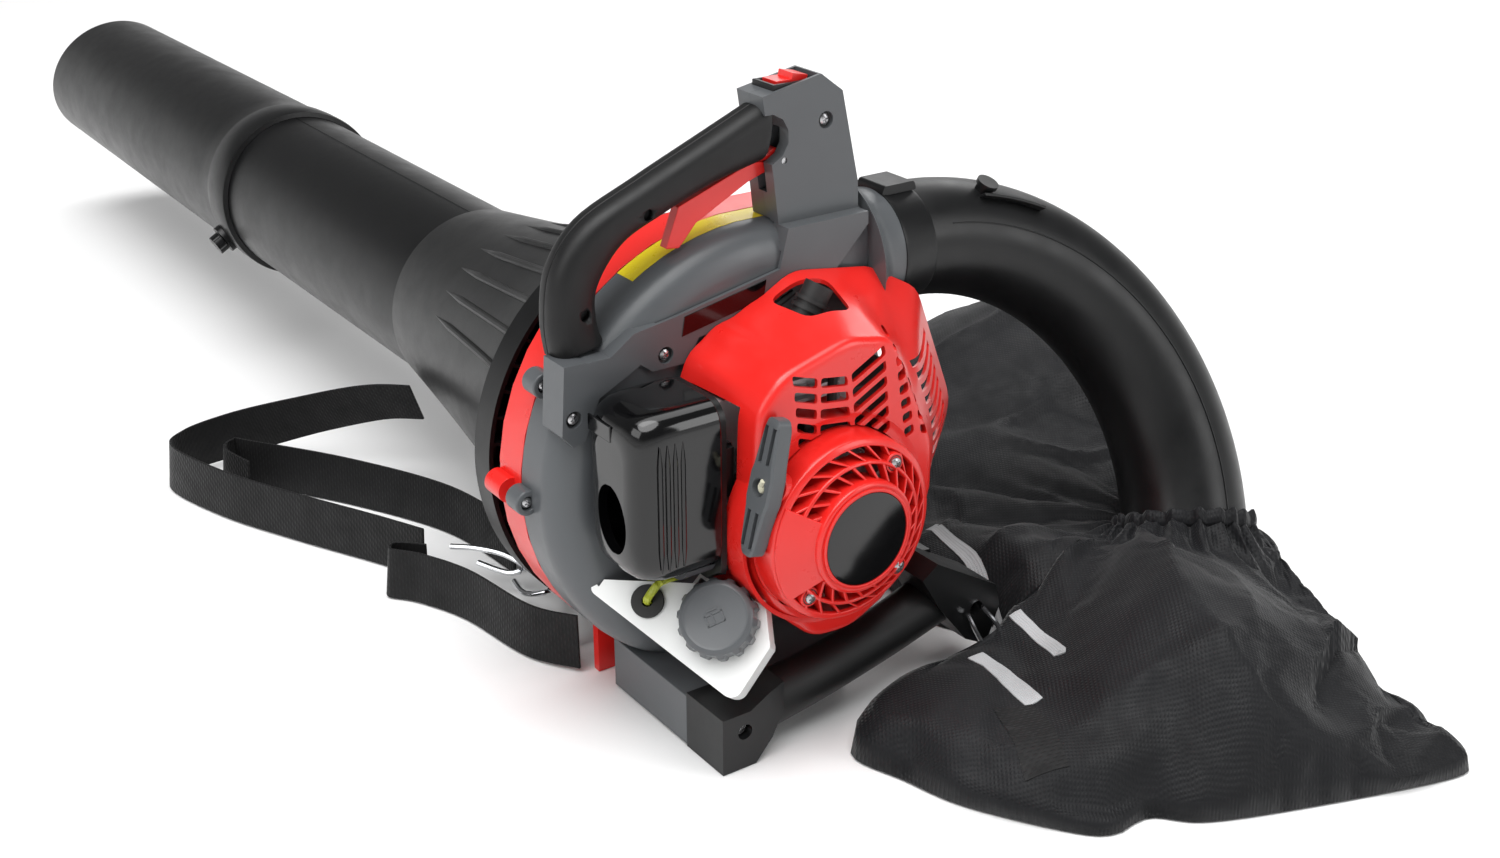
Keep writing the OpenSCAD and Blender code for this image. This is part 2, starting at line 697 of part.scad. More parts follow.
module fuel_line() color("#b5bd2b")
    wire([[84.4, -95.9, 96.7], [86.6, -98.3, 99.1], [88.8, -99.2, 102.6], [89, -90.5, 110.4], [88, -78, 110],
        [88, -70, 110], [84, -60, 116], [80, -59, 140], [77, -59, 165], [77, -59, 189.9]], 2.5);

module fuel_cap() color("#6b6f73") tank_frame() translate([tank_cap.x, tank_cap.y, 0.6]) difference() {
    union() {
        cylinder(r = cap_r - 1, h = 17);
        for (a = [0 : 30 : 359]) rotate(a) translate([cap_r - 2, -4, 0]) cube([2.2, 8, 13]);
    }
    translate([0, 0, -1]) cylinder(r = 17 + fit, h = 14);
}

// Engine cover

cover_x = [63.5, 138];
cover_back = [[-60, 236], [-42, 262], [10, 275], [80, 265], [120, 243], [152, 160], [148, 138], [110, 108],
    [60, 80], [20, 68], [-10, 70], [-46, 92], [-58, 130]];
cover_front = [[-54, 225], [-38, 244], [10, 257], [42, 251], [76, 176], [76, 146], [66, 104], [40, 78],
    [16, 66], [-12, 68], [-42, 96], [-58, 130]];

module cover_solid(inset, x0, x1) hull() {
    along_x(x0, 1) offset(delta = -inset) polygon(cover_back);
    along_x(x1 - 1, 1) offset(delta = -inset) polygon(cover_front);
}

module engine_cover() color("#d8261c") difference() {
    union() {
        cover_solid(0, cover_x[0], cover_x[1]);
        on_axis(104) cylinder(r = starter_r + 8.5, h = cover_x[1] - 104);
    }
    cover_solid(wall, cover_x[0] - 1, cover_x[1] - wall);
    on_axis(100) cylinder(r = starter_r + 8.5 - wall, h = cover_x[1] - 100 - wall);
    on_axis(130) cylinder(r = starter_r + 0.2, h = 20);
    translate([66, 2, 244]) cube([38, 70, 60]);
    translate([60, -80, 104]) cube([60, 50, 140]);
    tank_frame() translate([0, 0, -tank_t - 1]) linear_extrude(tank_t + 2) offset(delta = 1) tank_outline();
    tank_frame() translate([53, 7, -43]) cube([42, 42, 32]);
    cap_relief();
    cover_slots();
}

module cover_slots() {
    for (i = [0 : 6]) translate([120, -34 + 11 * i, 206]) rotate([12, 0, 0]) cube([30, 6, 36 - abs(i - 3)]);
    for (i = [0 : 7]) translate([90, 96, 152 + 11 * i]) rotate([0, 0, 43]) translate([-26, -30, 0])
        cube([50, 60, 6]);
}

// Recoil starter

starter_screw_at = [[27, 183], [-33, 114], [32, 114]];

module starter_housing() color("#d8261c") difference() {
    union() {
        difference() {
            on_axis(0) rotate_extrude() polygon([
                [starter_r, 133.5], [starter_r, 152], [54, 157], [34, 164], [31, 168], [0, 168], [0, 165],
                [29, 165], [31.5, 161.6], [52, 154.6], [starter_r - 2.5, 150], [starter_r - 2.5, 133.5]]);
            for (k = [0 : grille_slots - 1]) on_axis(150) rotate(k * 360 / grille_slots) {
                translate([35, -3.2, 0]) cube([7, 6.4, 40]);
                translate([45, -4.5, 0]) cube([7, 9, 40]);
            }
        }
        on_axis(150) cylinder(r = 5, h = 16);
        on_axis(141.5) cylinder(r = 5, h = 10);
        for (p = starter_screw_at) pocket(138, p, 5.5, 21);
        rod(knot - 5 * pull_dir, knot - 13 * pull_dir, 6);
    }
    rod(knot, knot - 30 * pull_dir, 3.2);
    for (p = starter_screw_at) pocket(159, p, 4.7, 20);
}

module starter_screws() color("#c9ccd0") for (p = starter_screw_at) pocket(159.1, p, 4.2, 2);

module starter_badge() color("#18191b") on_axis(168.1) cylinder(r = 28, h = 1.5);

module starter_pulley() color("#3a3c3e") on_axis(0) difference() {
    rotate_extrude() polygon([
        [0, 141], [22, 141], [22, 142.4], [16, 142.4], [16, 147.6], [22, 147.6], [22, 149], [0, 149]]);
    translate([0, 0, 130]) cylinder(r = 5 + fit, h = 30);
}

module recoil_spring() color("#8a8d90") on_axis(150.5) difference() {
    cylinder(r = 24, h = 8);
    translate([0, 0, -1]) cylinder(r = 7, h = 12);
}

module starter_rope() color("#e8e2c8") rod(knot - 2 * pull_dir, knot - 61 * pull_dir, 1.6);

module starter_grip() color("#6b6f73") difference() {
    translate(knot) rotate([-13.9, 0, 0]) {
        translate([-7, -8, -8]) cube([14, 11, 16]);
        for (z = [-40, 6]) translate([-6, -7, z]) cube([12, 9, 34]);
    }
    rod(knot + 20 * pull_dir, knot - 20 * pull_dir, 1.6);
}

// Shoulder strap: webbing standing on its edge where it lies on the ground

strap_w = 38;
strap_t = 2.4;
strap_loop = [[-322, -52, 70], [-350, -76, 66], [-396, -112, 48], [-438, -158, 28], [-446, -196, 20],
    [-424, -216, 19.5], [-357, -200, 19.5], [-291, -171, 19.5], [-225, -138, 19.5], [-182, -118, 19.5]];
strap_inner = [[-150, -62, 20], [-234, -72, 19.5], [-320, -112, 19.5], [-396, -162, 19.5], [-408, -172, 19.5],
    [-396, -184, 19.5], [-360, -178, 19.5]];
strap_tail = [[-9.5, -92, 22], [-45, -110, 20], [-110, -120, 19.5], [-150, -136, 19.5], [-170, -150, 19.5],
    [-176, -142, 19.5], [-160, -126, 19.5]];

module ribbon(pts, lean = [0, 0, 1]) {
    path = smooth(pts, 3);
    w = strap_w / 2;
    t = strap_t / 2;
    sweep(path, [for (p = path) lean], [[-w, -t], [w, -t], [w, t], [-w, t]]);
}

module shoulder_strap() color("#101113") {
    ribbon(strap_loop);
    ribbon(strap_inner);
    ribbon(strap_tail);
}

module strap_hook() color("#c9ccd0") {
    wire([[-176, -100, 22], [-160, -88, 24], [-140, -76, 24], [-122, -70, 20], [-128, -80, 16], [-150, -92, 18]], 2.2);
    wire([[-118, -72, 22], [-96, -66, 24], [-80, -74, 22], [-92, -86, 18], [-112, -84, 18]], 2);
}

intake_shell();
engine_side_shell();
volute_screws();
impeller();
shredder_blade();
impeller_nut();
tube_hood();
near_tube();
far_tube();
tube_knob();
outlet_elbow();
collection_bag();
bag_clip();
handle_frame_right();
handle_frame_left();
grip_right();
grip_left();
handle_screws();
trigger();
trigger_pin();
switch_bezel();
stop_rocker();
rocker_pin();
throttle_cable();
aux_handle();
aux_rear_bracket();
aux_front_bracket();
aux_bolts();
crankcase();
crank_bearings();
crankshaft();
engine_cylinder();
piston();
spark_plug();
plug_boot();
ignition_coil();
ht_lead();
flywheel();
muffler();
carburettor();
primer_bulb();
choke_lever();
filter_base();
filter_foam();
filter_cover();
fuel_tank();
tank_grommet();
fuel_line();
fuel_cap();
engine_cover();
starter_housing();
starter_screws();
starter_badge();
starter_pulley();
recoil_spring();
starter_rope();
starter_grip();
shoulder_strap();
strap_hook();
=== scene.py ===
import json
import math

import bmesh
import bpy
from mathutils import Matrix, Vector, noise
from mathutils.bvhtree import BVHTree


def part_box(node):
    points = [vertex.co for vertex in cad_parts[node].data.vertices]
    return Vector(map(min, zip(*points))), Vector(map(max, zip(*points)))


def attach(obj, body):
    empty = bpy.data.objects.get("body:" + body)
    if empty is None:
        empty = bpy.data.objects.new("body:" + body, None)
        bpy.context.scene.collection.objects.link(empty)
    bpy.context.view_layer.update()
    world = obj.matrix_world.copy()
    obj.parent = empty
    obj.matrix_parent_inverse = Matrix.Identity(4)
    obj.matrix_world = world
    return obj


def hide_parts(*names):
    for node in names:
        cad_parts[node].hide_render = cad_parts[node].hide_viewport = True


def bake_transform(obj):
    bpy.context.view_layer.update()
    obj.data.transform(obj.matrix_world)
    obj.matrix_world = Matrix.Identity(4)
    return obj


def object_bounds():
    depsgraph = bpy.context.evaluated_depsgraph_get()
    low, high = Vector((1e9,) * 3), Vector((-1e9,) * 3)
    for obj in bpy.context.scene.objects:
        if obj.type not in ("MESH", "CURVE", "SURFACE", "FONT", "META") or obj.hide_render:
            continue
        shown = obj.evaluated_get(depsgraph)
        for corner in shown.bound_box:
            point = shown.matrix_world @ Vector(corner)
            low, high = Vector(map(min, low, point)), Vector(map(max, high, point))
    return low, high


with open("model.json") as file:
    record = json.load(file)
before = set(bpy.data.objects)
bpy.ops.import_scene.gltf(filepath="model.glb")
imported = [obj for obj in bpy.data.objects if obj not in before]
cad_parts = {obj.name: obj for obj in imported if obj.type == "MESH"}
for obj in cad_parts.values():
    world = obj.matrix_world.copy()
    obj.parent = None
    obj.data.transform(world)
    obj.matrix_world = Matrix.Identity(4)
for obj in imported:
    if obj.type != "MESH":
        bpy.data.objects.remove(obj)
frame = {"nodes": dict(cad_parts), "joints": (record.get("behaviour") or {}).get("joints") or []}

cad_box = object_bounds()
scene = bpy.context.scene
MM = 0.001
AXIS_Z = 146
UP = Vector((0, 0, 1))


# ---------------------------------------------------------------- shape helpers, in millimetres

class Shape:
    """Points and faces of one piece, gathered from several closed parts."""

    def __init__(self):
        self.verts, self.faces = [], []

    def add(self, part, place=None):
        verts, faces = part
        base = len(self.verts)
        self.verts += [place @ Vector(v) for v in verts] if place else [Vector(v) for v in verts]
        self.faces += [tuple(base + i for i in face) for face in faces]
        return self


def loft(rings, wrap=False):
    """A closed skin over rings of equal length, capped at both ends or joined end to end."""
    n, count = len(rings[0]), len(rings)
    faces = []
    for i in range(count if wrap else count - 1):
        a, b = i * n, (i + 1) % count * n
        faces += [(a + j, a + (j + 1) % n, b + (j + 1) % n, b + j) for j in range(n)]
    if not wrap:
        faces += [tuple(range(n))[::-1], tuple((count - 1) * n + j for j in range(n))]
    return [p for ring in rings for p in ring], faces


def turned(profile, sides=72, centre=(0, AXIS_Z)):
    """A solid turned about an axis along X; the closed profile lists (x, radius)."""
    y, z = centre
    angles = [2 * math.pi * k / sides for k in range(sides)]
    return loft([[(x, y + r * math.cos(a), z + r * math.sin(a)) for x,
                  r in profile] for a in angles], wrap=True)


def prism(outline, x0, x1):
    """An outline in Y and Z, carried from x0 to x1."""
    return loft([[(x, y, z) for y, z in outline] for x in (x0, x1)])


def block(low, high):
    (x0, y0, z0), (x1, y1, z1) = low, high
    return prism([(y0, z0), (y1, z0), (y1, z1), (y0, z1)], x0, x1)


def disc(radius, z0, z1, sides=32):
    ring = [(radius * math.cos(2 * math.pi * k / sides),
             radius * math.sin(2 * math.pi * k / sides)) for k in range(sides)]
    return loft([[(x, y, z) for x, y in ring] for z in (z0, z1)])


def ball(radii, sides=32):
    """A closed ellipsoid about the origin."""
    rings = []
    for i in range(1, sides // 2):
        v = math.pi * i / (sides // 2)
        rings.append([(radii[0] * math.sin(v) * math.cos(2 * math.pi * k / sides),
                       radii[1] * math.sin(v) * math.sin(2 * math.pi * k / sides),
                       radii[2] * math.cos(v)) for k in range(sides)])
    return loft(rings)


def curve(points, steps=6, closed=False):
    """A smooth line through the points."""
    pts, n = [Vector(p) for p in points], len(points)
    pick = (lambda i: pts[i % n]) if closed else (lambda i: pts[min(max(i, 0), n - 1)])
    line = []
    for i in range(n if closed else n - 1):
        a, b, c, d = pick(i - 1), pick(i), pick(i + 1), pick(i + 2)
        for k in range(steps):
            t = k / steps
            line.append(0.5 * (2 * b + (c - a) * t + (2 * a - 5 * b + 4 * c - d) * t * t
                               + (3 * b - a - 3 * c + d) * t ** 3))
    return line if closed else line + [pts[-1]]


def rounded(points, radius, steps=4):
    """The closed outline with its sharp corners rounded off."""
    pts, out = [Vector(p) for p in points], []
    for i, p in enumerate(pts):
        before, after = pts[i - 1] - p, pts[(i + 1) % len(pts)] - p
        if (-before).angle(after) < math.radians(20):
            out.append(p)
            continue
        a = p + before.normalized() * min(radius, before.length * 0.45)
        b = p + after.normalized() * min(radius, after.length * 0.45)
        out += [a * (1 - t) ** 2 + p * 2 * t * (1 - t) + b * t * t
                for t in (k / steps for k in range(steps + 1))]
    return out


def sweep(path, outline, lean=UP, scale=None):
    """The outline carried along the path; lean says which way its first axis points."""
    rings = []
    for i, p in enumerate(path):
        ahead = (path[min(i + 1, len(path) - 1)] - path[max(i - 1, 0)]).normalized()
        side = (lean[i] if isinstance(lean, list) else lean)
        side = (side - ahead * side.dot(ahead)).normalized()
        other = ahead.cross(side)
        s = scale[i] if scale else 1
        rings.append([p + side * u * s + other * v * s for u, v in outline])
    return loft(rings)


def circle(radius, sides=16):
    return [(radius * math.cos(2 * math.pi * k / sides),
             radius * math.sin(2 * math.pi * k / sides)) for k in range(sides)]


def reach_of(outline, middle, sides):
    """The outline's distance from the middle, at even angles."""
    reach = []
    for k in range(sides):
        a = 2 * math.pi * k / sides
        ray, best = Vector((math.cos(a), math.sin(a))), 0
        for i, p in enumerate(outline):
            edge = outline[(i + 1) % len(outline)] - p
            across = ray.x * edge.y - ray.y * edge.x
            if abs(across) < 1e-9:
                continue
            start = p - middle
            far = (start.x * edge.y - start.y * edge.x) / across
            along = (start.x * ray.y - start.y * ray.x) / across
            if far > 0 and -1e-6 <= along <= 1 + 1e-6:
                best = max(best, far)
        reach.append(best)
    return reach


def facing(origin, direction):
    """Places a part whose own Z should point in a direction."""
    turn = Vector(direction).to_track_quat("Z", "Y").to_matrix().to_4x4()
    return Matrix.Translation(Vector(origin)) @ turn


# ---------------------------------------------------------------- pieces

def keep_smooth(obj, angle=32):
    mesh = obj.data
    mesh.polygons.foreach_set("use_smooth", [True] * len(mesh.polygons))
    mesh.set_sharp_from_angle(angle=math.radians(angle))


def bevel(obj, width, segments=3, angle=32):
    mod = obj.modifiers.new("round edges", "BEVEL")
    mod.width, mod.segments = width * MM, segments
    mod.limit_method, mod.angle_limit = "ANGLE", math.radians(angle)
    obj.modifiers.new("even shading", "WEIGHTED_NORMAL").keep_sharp = True


def piece(name, shape, finish, body="root", stands_for=(), edge=0, angle=32):
    """Makes one named piece from a Shape or a (points, faces) pair."""
    verts, faces = (shape.verts, shape.faces) if isinstance(shape, Shape) else shape
    mesh = bpy.data.meshes.new(name)
    mesh.from_pydata([Vector(v) * MM for v in verts], [], faces)
    work = bmesh.new()
    work.from_mesh(mesh)
    bmesh.ops.remove_doubles(work, verts=work.verts, dist=1e-6)
    bmesh.ops.recalc_face_normals(work, faces=work.faces)
    work.to_mesh(mesh)
    work.free()
    obj = bpy.data.objects.new(name, mesh)
    scene.collection.objects.link(obj)
    mesh.materials.append(finish)
    keep_smooth(obj, angle)
    if edge:
        bevel(obj, edge, angle=angle)
    if body:
        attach(obj, body)
    if stands_for:
        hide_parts(*stands_for)
    return obj


def bake_modifiers(obj):
    """Turns a piece's modifiers into its mesh."""
    result = obj.evaluated_get(bpy.context.evaluated_depsgraph_get())
    obj.data = bpy.data.meshes.new_from_object(result)
    obj.modifiers.clear()


def cut(obj, shape, operation="DIFFERENCE"):
    """Cuts a Shape out of a piece, or joins it on."""
    tool = piece("cutting_tool", shape, obj.data.materials[0], body=None)
    mod = obj.modifiers.new("cut", "BOOLEAN")
    mod.operation, mod.object, mod.solver = operation, tool, "EXACT"
    bake_modifiers(obj)
    bpy.data.objects.remove(tool)
    keep_smooth(obj)
    return obj


# ---------------------------------------------------------------- materials

class Finish:
    """A node material: one colour that varies, one roughness that varies, and layers of bump."""

    def __init__(self, name, colour, roughness, metallic=0.0, coat=0.0, specular=0.5):
        self.material = bpy.data.materials.new(name)
        self.material.use_nodes = True
        self.nodes = self.material.node_tree.nodes
        self.links = self.material.node_tree.links
        self.shader = self.nodes["Principled BSDF"]
        self.set(self.shader, Metallic=metallic, Roughness=roughness)
        self.shader.inputs["Base Color"].default_value = (*colour, 1)
        self.shader.inputs["Coat Weight"].default_value = coat
        self.shader.inputs["Coat Roughness"].default_value = 0.12
        self.shader.inputs["Specular IOR Level"].default_value = specular
        self.place = self.nodes.new("ShaderNodeTexCoord").outputs["Object"]
        self.normal = None

    def set(self, node, **values):
        for name, value in values.items():
            node.inputs[name].default_value = value
        return node

    def texture(self, scale, detail=3.0, rough=0.5, stretch=None):
        node = self.set(self.nodes.new("ShaderNodeTexNoise"), Scale=scale, Detail=detail,
                        Roughness=rough)
        place = self.place
        if stretch:
            mapping = self.nodes.new("ShaderNodeMapping")
            mapping.inputs["Scale"].default_value = stretch
            self.links.new(place, mapping.inputs["Vector"])
            place = mapping.outputs["Vector"]
        self.links.new(place, node.inputs["Vector"])
        return node.outputs["Fac"]

    def waves(self, scale, across, distortion=0.0, source=None):
        node = self.nodes.new("ShaderNodeTexWave")
        node.bands_direction = across
        self.set(node, Scale=scale, Distortion=distortion)
        self.links.new(source or self.place, node.inputs["Vector"])
        return node.outputs["Fac"]

    def turned_place(self):
        """The object's own coordinates, turned so that the cloth lies on the bias."""
        mapping = self.nodes.new("ShaderNodeMapping")
        mapping.inputs["Rotation"].default_value = (0, 0, math.radians(35))
        self.links.new(self.place, mapping.inputs["Vector"])
        return mapping.outputs["Vector"]

    def spread(self, value, low, high, start=0.3, end=0.7):
        node = self.nodes.new("ShaderNodeMapRange")
        for i, v in enumerate((start, end, low, high)):
            node.inputs[i + 1].default_value = v
        self.links.new(value, node.inputs[0])
        return node.outputs[0]

    def vary(self, scale, low, high, detail=3.0, stretch=None):
        """Mixes the base colour between a darker and a lighter shade over a noise."""
        node = self.nodes.new("ShaderNodeMix")
        node.data_type = "RGBA"
        base = self.shader.inputs["Base Color"].default_value[:3]
        node.inputs[6].default_value = (*(c * low for c in base), 1)
        node.inputs[7].default_value = (*(min(1, c * high) for c in base), 1)
        self.links.new(self.spread(self.texture(scale, detail, stretch=stretch), 0, 1),
                       node.inputs[0])
        self.links.new(node.outputs[2], self.shader.inputs["Base Color"])
        return self

    def scuff(self, scale, low, high):
        self.links.new(self.spread(self.texture(scale, 6.0, 0.65), low, high),
                       self.shader.inputs["Roughness"])
        return self

    def relief(self, height, depth, strength=1.0):
        node = self.set(self.nodes.new("ShaderNodeBump"), Strength=strength, Distance=depth * MM)
        self.links.new(height, node.inputs["Height"])
        if self.normal:
            self.links.new(self.normal, node.inputs["Normal"])
        self.normal = node.outputs["Normal"]
        self.links.new(self.normal, self.shader.inputs["Normal"])
        return self

    def combine(self, kind, a, b):
        node = self.nodes.new("ShaderNodeMath")
        node.operation = kind
        for i, v in enumerate((a, b)):
            if isinstance(v, (int, float)):
                node.inputs[i].default_value = v
            else:
                self.links.new(v, node.inputs[i])
        return node.outputs[0]


def plastic(name, colour, low, high, grain=0.05, coat=0.0, tone=0.06, specular=0.5):
    """Moulded plastic: spark-eroded grain, slow flow marks and uneven gloss."""
    f = Finish(name, colour, (low + high) / 2, coat=coat, specular=specular)
    f.vary(9, 1 - tone, 1 + tone)
    f.scuff(38, low, high)
    f.relief(f.texture(1500, 2.0), grain, 0.5)
    return f.relief(f.texture(30, 1.0), 0.25, 0.25).material


def metal(name, colour, low, high, brushed=None, cast=0.0):
    f = Finish(name, colour, (low + high) / 2, metallic=1.0)
    f.vary(60, 0.86, 1.06)
    f.scuff(140, low, high)
    if brushed:
        f.relief(f.texture(300, 4.0, stretch=brushed), 0.03, 0.6)
    if cast:
        f.relief(f.texture(520, 5.0, 0.7), cast, 0.8)
    return f.material


def woven(name, colour, pitch, tilt=False, sheen=0.35, laid=False):
    """Cloth whose threads cross at a pitch in millimetres; from UVs in metres, or from X and Y when laid flat."""
    f = Finish(name, colour, 0.62, specular=0.25)
    f.shader.inputs["Sheen Weight"].default_value = sheen
    f.shader.inputs["Sheen Roughness"].default_value = 0.4
    f.vary(14, 0.8, 1.25)
    f.scuff(60, 0.5, 0.72)
    uv = f.turned_place() if laid else f.nodes.new("ShaderNodeUVMap").outputs["UV"]
    bands = 2 * math.pi / (20 * pitch * MM)
    threads = f.combine("MULTIPLY", f.waves(bands, "DIAGONAL" if tilt else "X", source=uv),
                        f.waves(bands, "Y", source=uv))
    f.relief(threads, 0.35, 0.7)
    return f.relief(f.texture(220, 3.0), 0.3, 0.35).material


RED = plastic("red moulding", (0.72, 0.016, 0.012), 0.26, 0.36, 0.03, coat=0.25, tone=0.05)
GREY = plastic("grey moulding", (0.088, 0.094, 0.1), 0.28, 0.4, 0.05, specular=0.42)
BLACK = plastic("black satin moulding", (0.005, 0.0052, 0.0056), 0.3, 0.42, 0.06, specular=0.36)
TUBE = plastic("black blown tube", (0.0036, 0.0037, 0.004), 0.3, 0.4, 0.05, specular=0.34)
GLOSS = plastic("black gloss moulding", (0.0016, 0.0016, 0.0019), 0.07, 0.14, 0.015, coat=0.35,
                specular=0.4)
GRIP = plastic("soft black grip", (0.005, 0.005, 0.0053), 0.42, 0.55, 0.12, specular=0.36)
RUBBER = plastic("black rubber", (0.01, 0.01, 0.01), 0.5, 0.62, 0.1)
TANK = plastic("milky tank", (0.83, 0.84, 0.83), 0.3, 0.42, 0.03, tone=0.02)
HOSE = plastic("green fuel hose", (0.42, 0.47, 0.04), 0.2, 0.3, 0.02)
PRIMER = plastic("amber primer bulb", (0.62, 0.44, 0.12), 0.2, 0.3, 0.02)
CERAMIC = plastic("glazed insulator", (0.8, 0.79, 0.75), 0.1, 0.2, 0.01, coat=0.4)
FOAM = plastic("filter foam", (0.04, 0.04, 0.045), 0.8, 0.95, 0.8)
CAST = metal("cast aluminium", (0.52, 0.53, 0.54), 0.38, 0.55, cast=0.12)
STEEL = metal("machined steel", (0.5, 0.5, 0.51), 0.22, 0.36, brushed=(1, 30, 30))
CHROME = metal("bright plating", (0.72, 0.73, 0.75), 0.08, 0.2)
DARK_STEEL = metal("heat-dark steel", (0.12, 0.115, 0.11), 0.45, 0.62, cast=0.08)
CLOTH = woven("black bag cloth", (0.0045, 0.0048, 0.006), 2.2, sheen=0.12, laid=True)
WEBBING = woven("black webbing", (0.0048, 0.0048, 0.0052), 2.6, tilt=True, sheen=0.1)
SILVER = woven("silver printed cloth", (0.42, 0.43, 0.44), 1.6, sheen=0.1)
ROPE = woven("braided starter cord", (0.62, 0.6, 0.45), 1.2, tilt=True)
LABEL = plastic("yellow label", (0.8, 0.62, 0.01), 0.25, 0.32, 0.01, tone=0.02)


# ---------------------------------------------------------------- fan housing

def scroll_radius(a):
    return 115 + 40 * a / 270


def scroll_outline(grow):
    """Outline of the scroll in Y and Z, grown outwards, with its outlet towards +Y."""
    arc = []
    for a in range(0, 271, 5):
        r = scroll_radius(a) + grow
        arc.append(Vector((r * math.cos(math.radians(a)), AXIS_Z - r * math.sin(math.radians(a)))))
    corner = [Vector((98 + grow, AXIS_Z + 155 + grow)), Vector((98 + grow, 222 - grow))]
    return rounded(arc + corner, 14, 5)


def scroll_rings(stations):
    return [[(x, y, z) for y, z in scroll_outline(grow)] for x, grow in stations]


def over_scroll(y, lift):
    """Height of the scroll's top at y, with a lift above it."""
    if y >= 0:
        return AXIS_Z + 155 + lift
    fall = math.degrees(math.asin(min(1, -y / 150)))
    return AXIS_Z + math.sqrt((scroll_radius(270 - fall) + lift) ** 2 - y * y)


BOSSES = ((-144.5, 154), (-129.5, 225))
shoulder = [(40 + 20 * math.sin(math.radians(a)),
             -22 * (1 - math.cos(math.radians(a)))) for a in range(0, 91, 10)]
housing = Shape().add(loft(scroll_rings([(18.2, -8), (18.2, -0.8),
                                         (19, 0)] + shoulder + [(60, -40)])))
neck_place = Matrix.Translation((23, 0, 260)) @ Matrix.Rotation(math.radians(90), 4, "Z")
neck = [(84, 54), (90, 47), (96, 42), (103, 39.5), (112, 38.6), (116, 38.6), (116, 34), (84, 34)]
housing.add(turned(neck, centre=(0, 0)), neck_place)
housing.add(block((18.2, -82, 1), (102, 40, 35.6)))
for y, z in BOSSES:
    housing.add(turned([(18.2, 0), (29, 0), (29, 4.6), (32, 4.6), (32, 7.4), (31.2, 8), (18.2, 8)],
                       40, (y, z)))
piece("engine_side_housing", housing, GREY, stands_for=("engine_side_shell",),
      edge=1.2)

bulge = Shape().add(ball((15, 60, 17)), Matrix.Translation((43, -26,
                                                            272)) @ Matrix.Rotation(math.radians(11), 4, "X"))
piece("shoulder_bulge", bulge, GREY)

strip_line = [Vector((28, y, over_scroll(y, 0.2))) for y in range(-72, 27, 4)]
piece("yellow_strip", sweep(strip_line, [(-8.5, 0), (8.5, 0), (8.5, 0.5), (-8.5, 0.5)],
                            Vector((1, 0, 0))), LABEL)
edges = Shape()
for side in (-8, 8):
    edges.add(sweep(strip_line, [(side - 0.5, 0.4), (side + 0.5, 0.4), (side + 0.5, 0.7),
                                 (side - 0.5, 0.7)], Vector((1, 0, 0))))
piece("yellow_strip_edges", edges, BLACK)
plate = Shape().add(prism([(-56, 249), (2, 260), (4, 272), (-54, 261)], 62.8, 63.4))
piece("type_plate", plate, GLOSS, edge=0.2)

# ---------------------------------------------------------------- suction tube

hood_line = [(-50.5, 118), (-62, 114.5), (-80, 110), (-120, 101.5), (-160, 94.5), (-200, 88),
             (-250, 80.5), (-308, 72.5)]
hood_line = [(p.x, p.y) for p in curve([Vector(p) for p in hood_line], 4)]
hood = Shape().add(turned([(-34, 133), (-34, 136), (-36, 136), (-50, 136), (-50, 133)], 120))
hood.add(turned([(-34, 120), (-34, 123), (-48, 123), (-48, 120)], 120))
hood.add(turned([(-34, 106), (-34, 109), (-48, 109), (-48, 106)], 120))
hood.add(turned([(-53, 136), (-53, 68.1), (-14, 68.1), (-14, 71), (-46, 71), (-50, 136)], 120))
hood.add(turned(hood_line + [(x, r - 2.4) for x, r in hood_line[::-1]], 120))
for k in range(48):
    a = 2 * math.pi * k / 48
    rib = Matrix.Translation((0, 0, AXIS_Z)) @ Matrix.Rotation(a, 4, "X")
    hood.add(block((-49, 70, -1), (-35, 134, 1)), rib)
for k in range(-3, 4):
    a = math.radians(62 + 13 * k)
    side = Vector((0, -math.cos(a), math.sin(a)))
    ridge = [Vector((x, 0, AXIS_Z)) + side * (r - 0.4) for x, r in hood_line[6:-6]]
    lift = [min(1, i / 3, (len(ridge) - 1 - i) / 3) + 0.05 for i in range(len(ridge))]
    hood.add(sweep(ridge, circle(2.6, 10), scale=lift))
piece("hood_skin", hood, TUBE, stands_for=("tube_hood",))

near_low, near_high = (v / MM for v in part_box("near_tube"))
far_low, far_high = (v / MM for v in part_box("far_tube"))
TUBE_R = (near_high.z - near_low.z) / 2
near = Shape().add(turned([(near_high.x, TUBE_R), (near_high.x + 1, TUBE_R - 1),
                           (near_high.x, TUBE_R - 2.5),
                           (near_low.x, TUBE_R - 2.5), (near_low.x, TUBE_R)], 120))
for turn in (0, 180):
    seam = [Vector((x, 0, AXIS_Z + TUBE_R)) for x in range(int(near_low.x) + 40, int(near_high.x),
                                                           20)]
    near.add(sweep(seam, [(-0.7, -0.5), (0.7, -0.5), (0.3, 0.45), (-0.3, 0.45)], Vector((0, 1, 0))),
             Matrix.Translation((0, 0, AXIS_Z)) @ Matrix.Rotation(math.radians(turn), 4,
                 "X") @ Matrix.Translation((0, 0, -AXIS_Z)))
piece("near_tube_skin", near, TUBE, stands_for=("near_tube",))

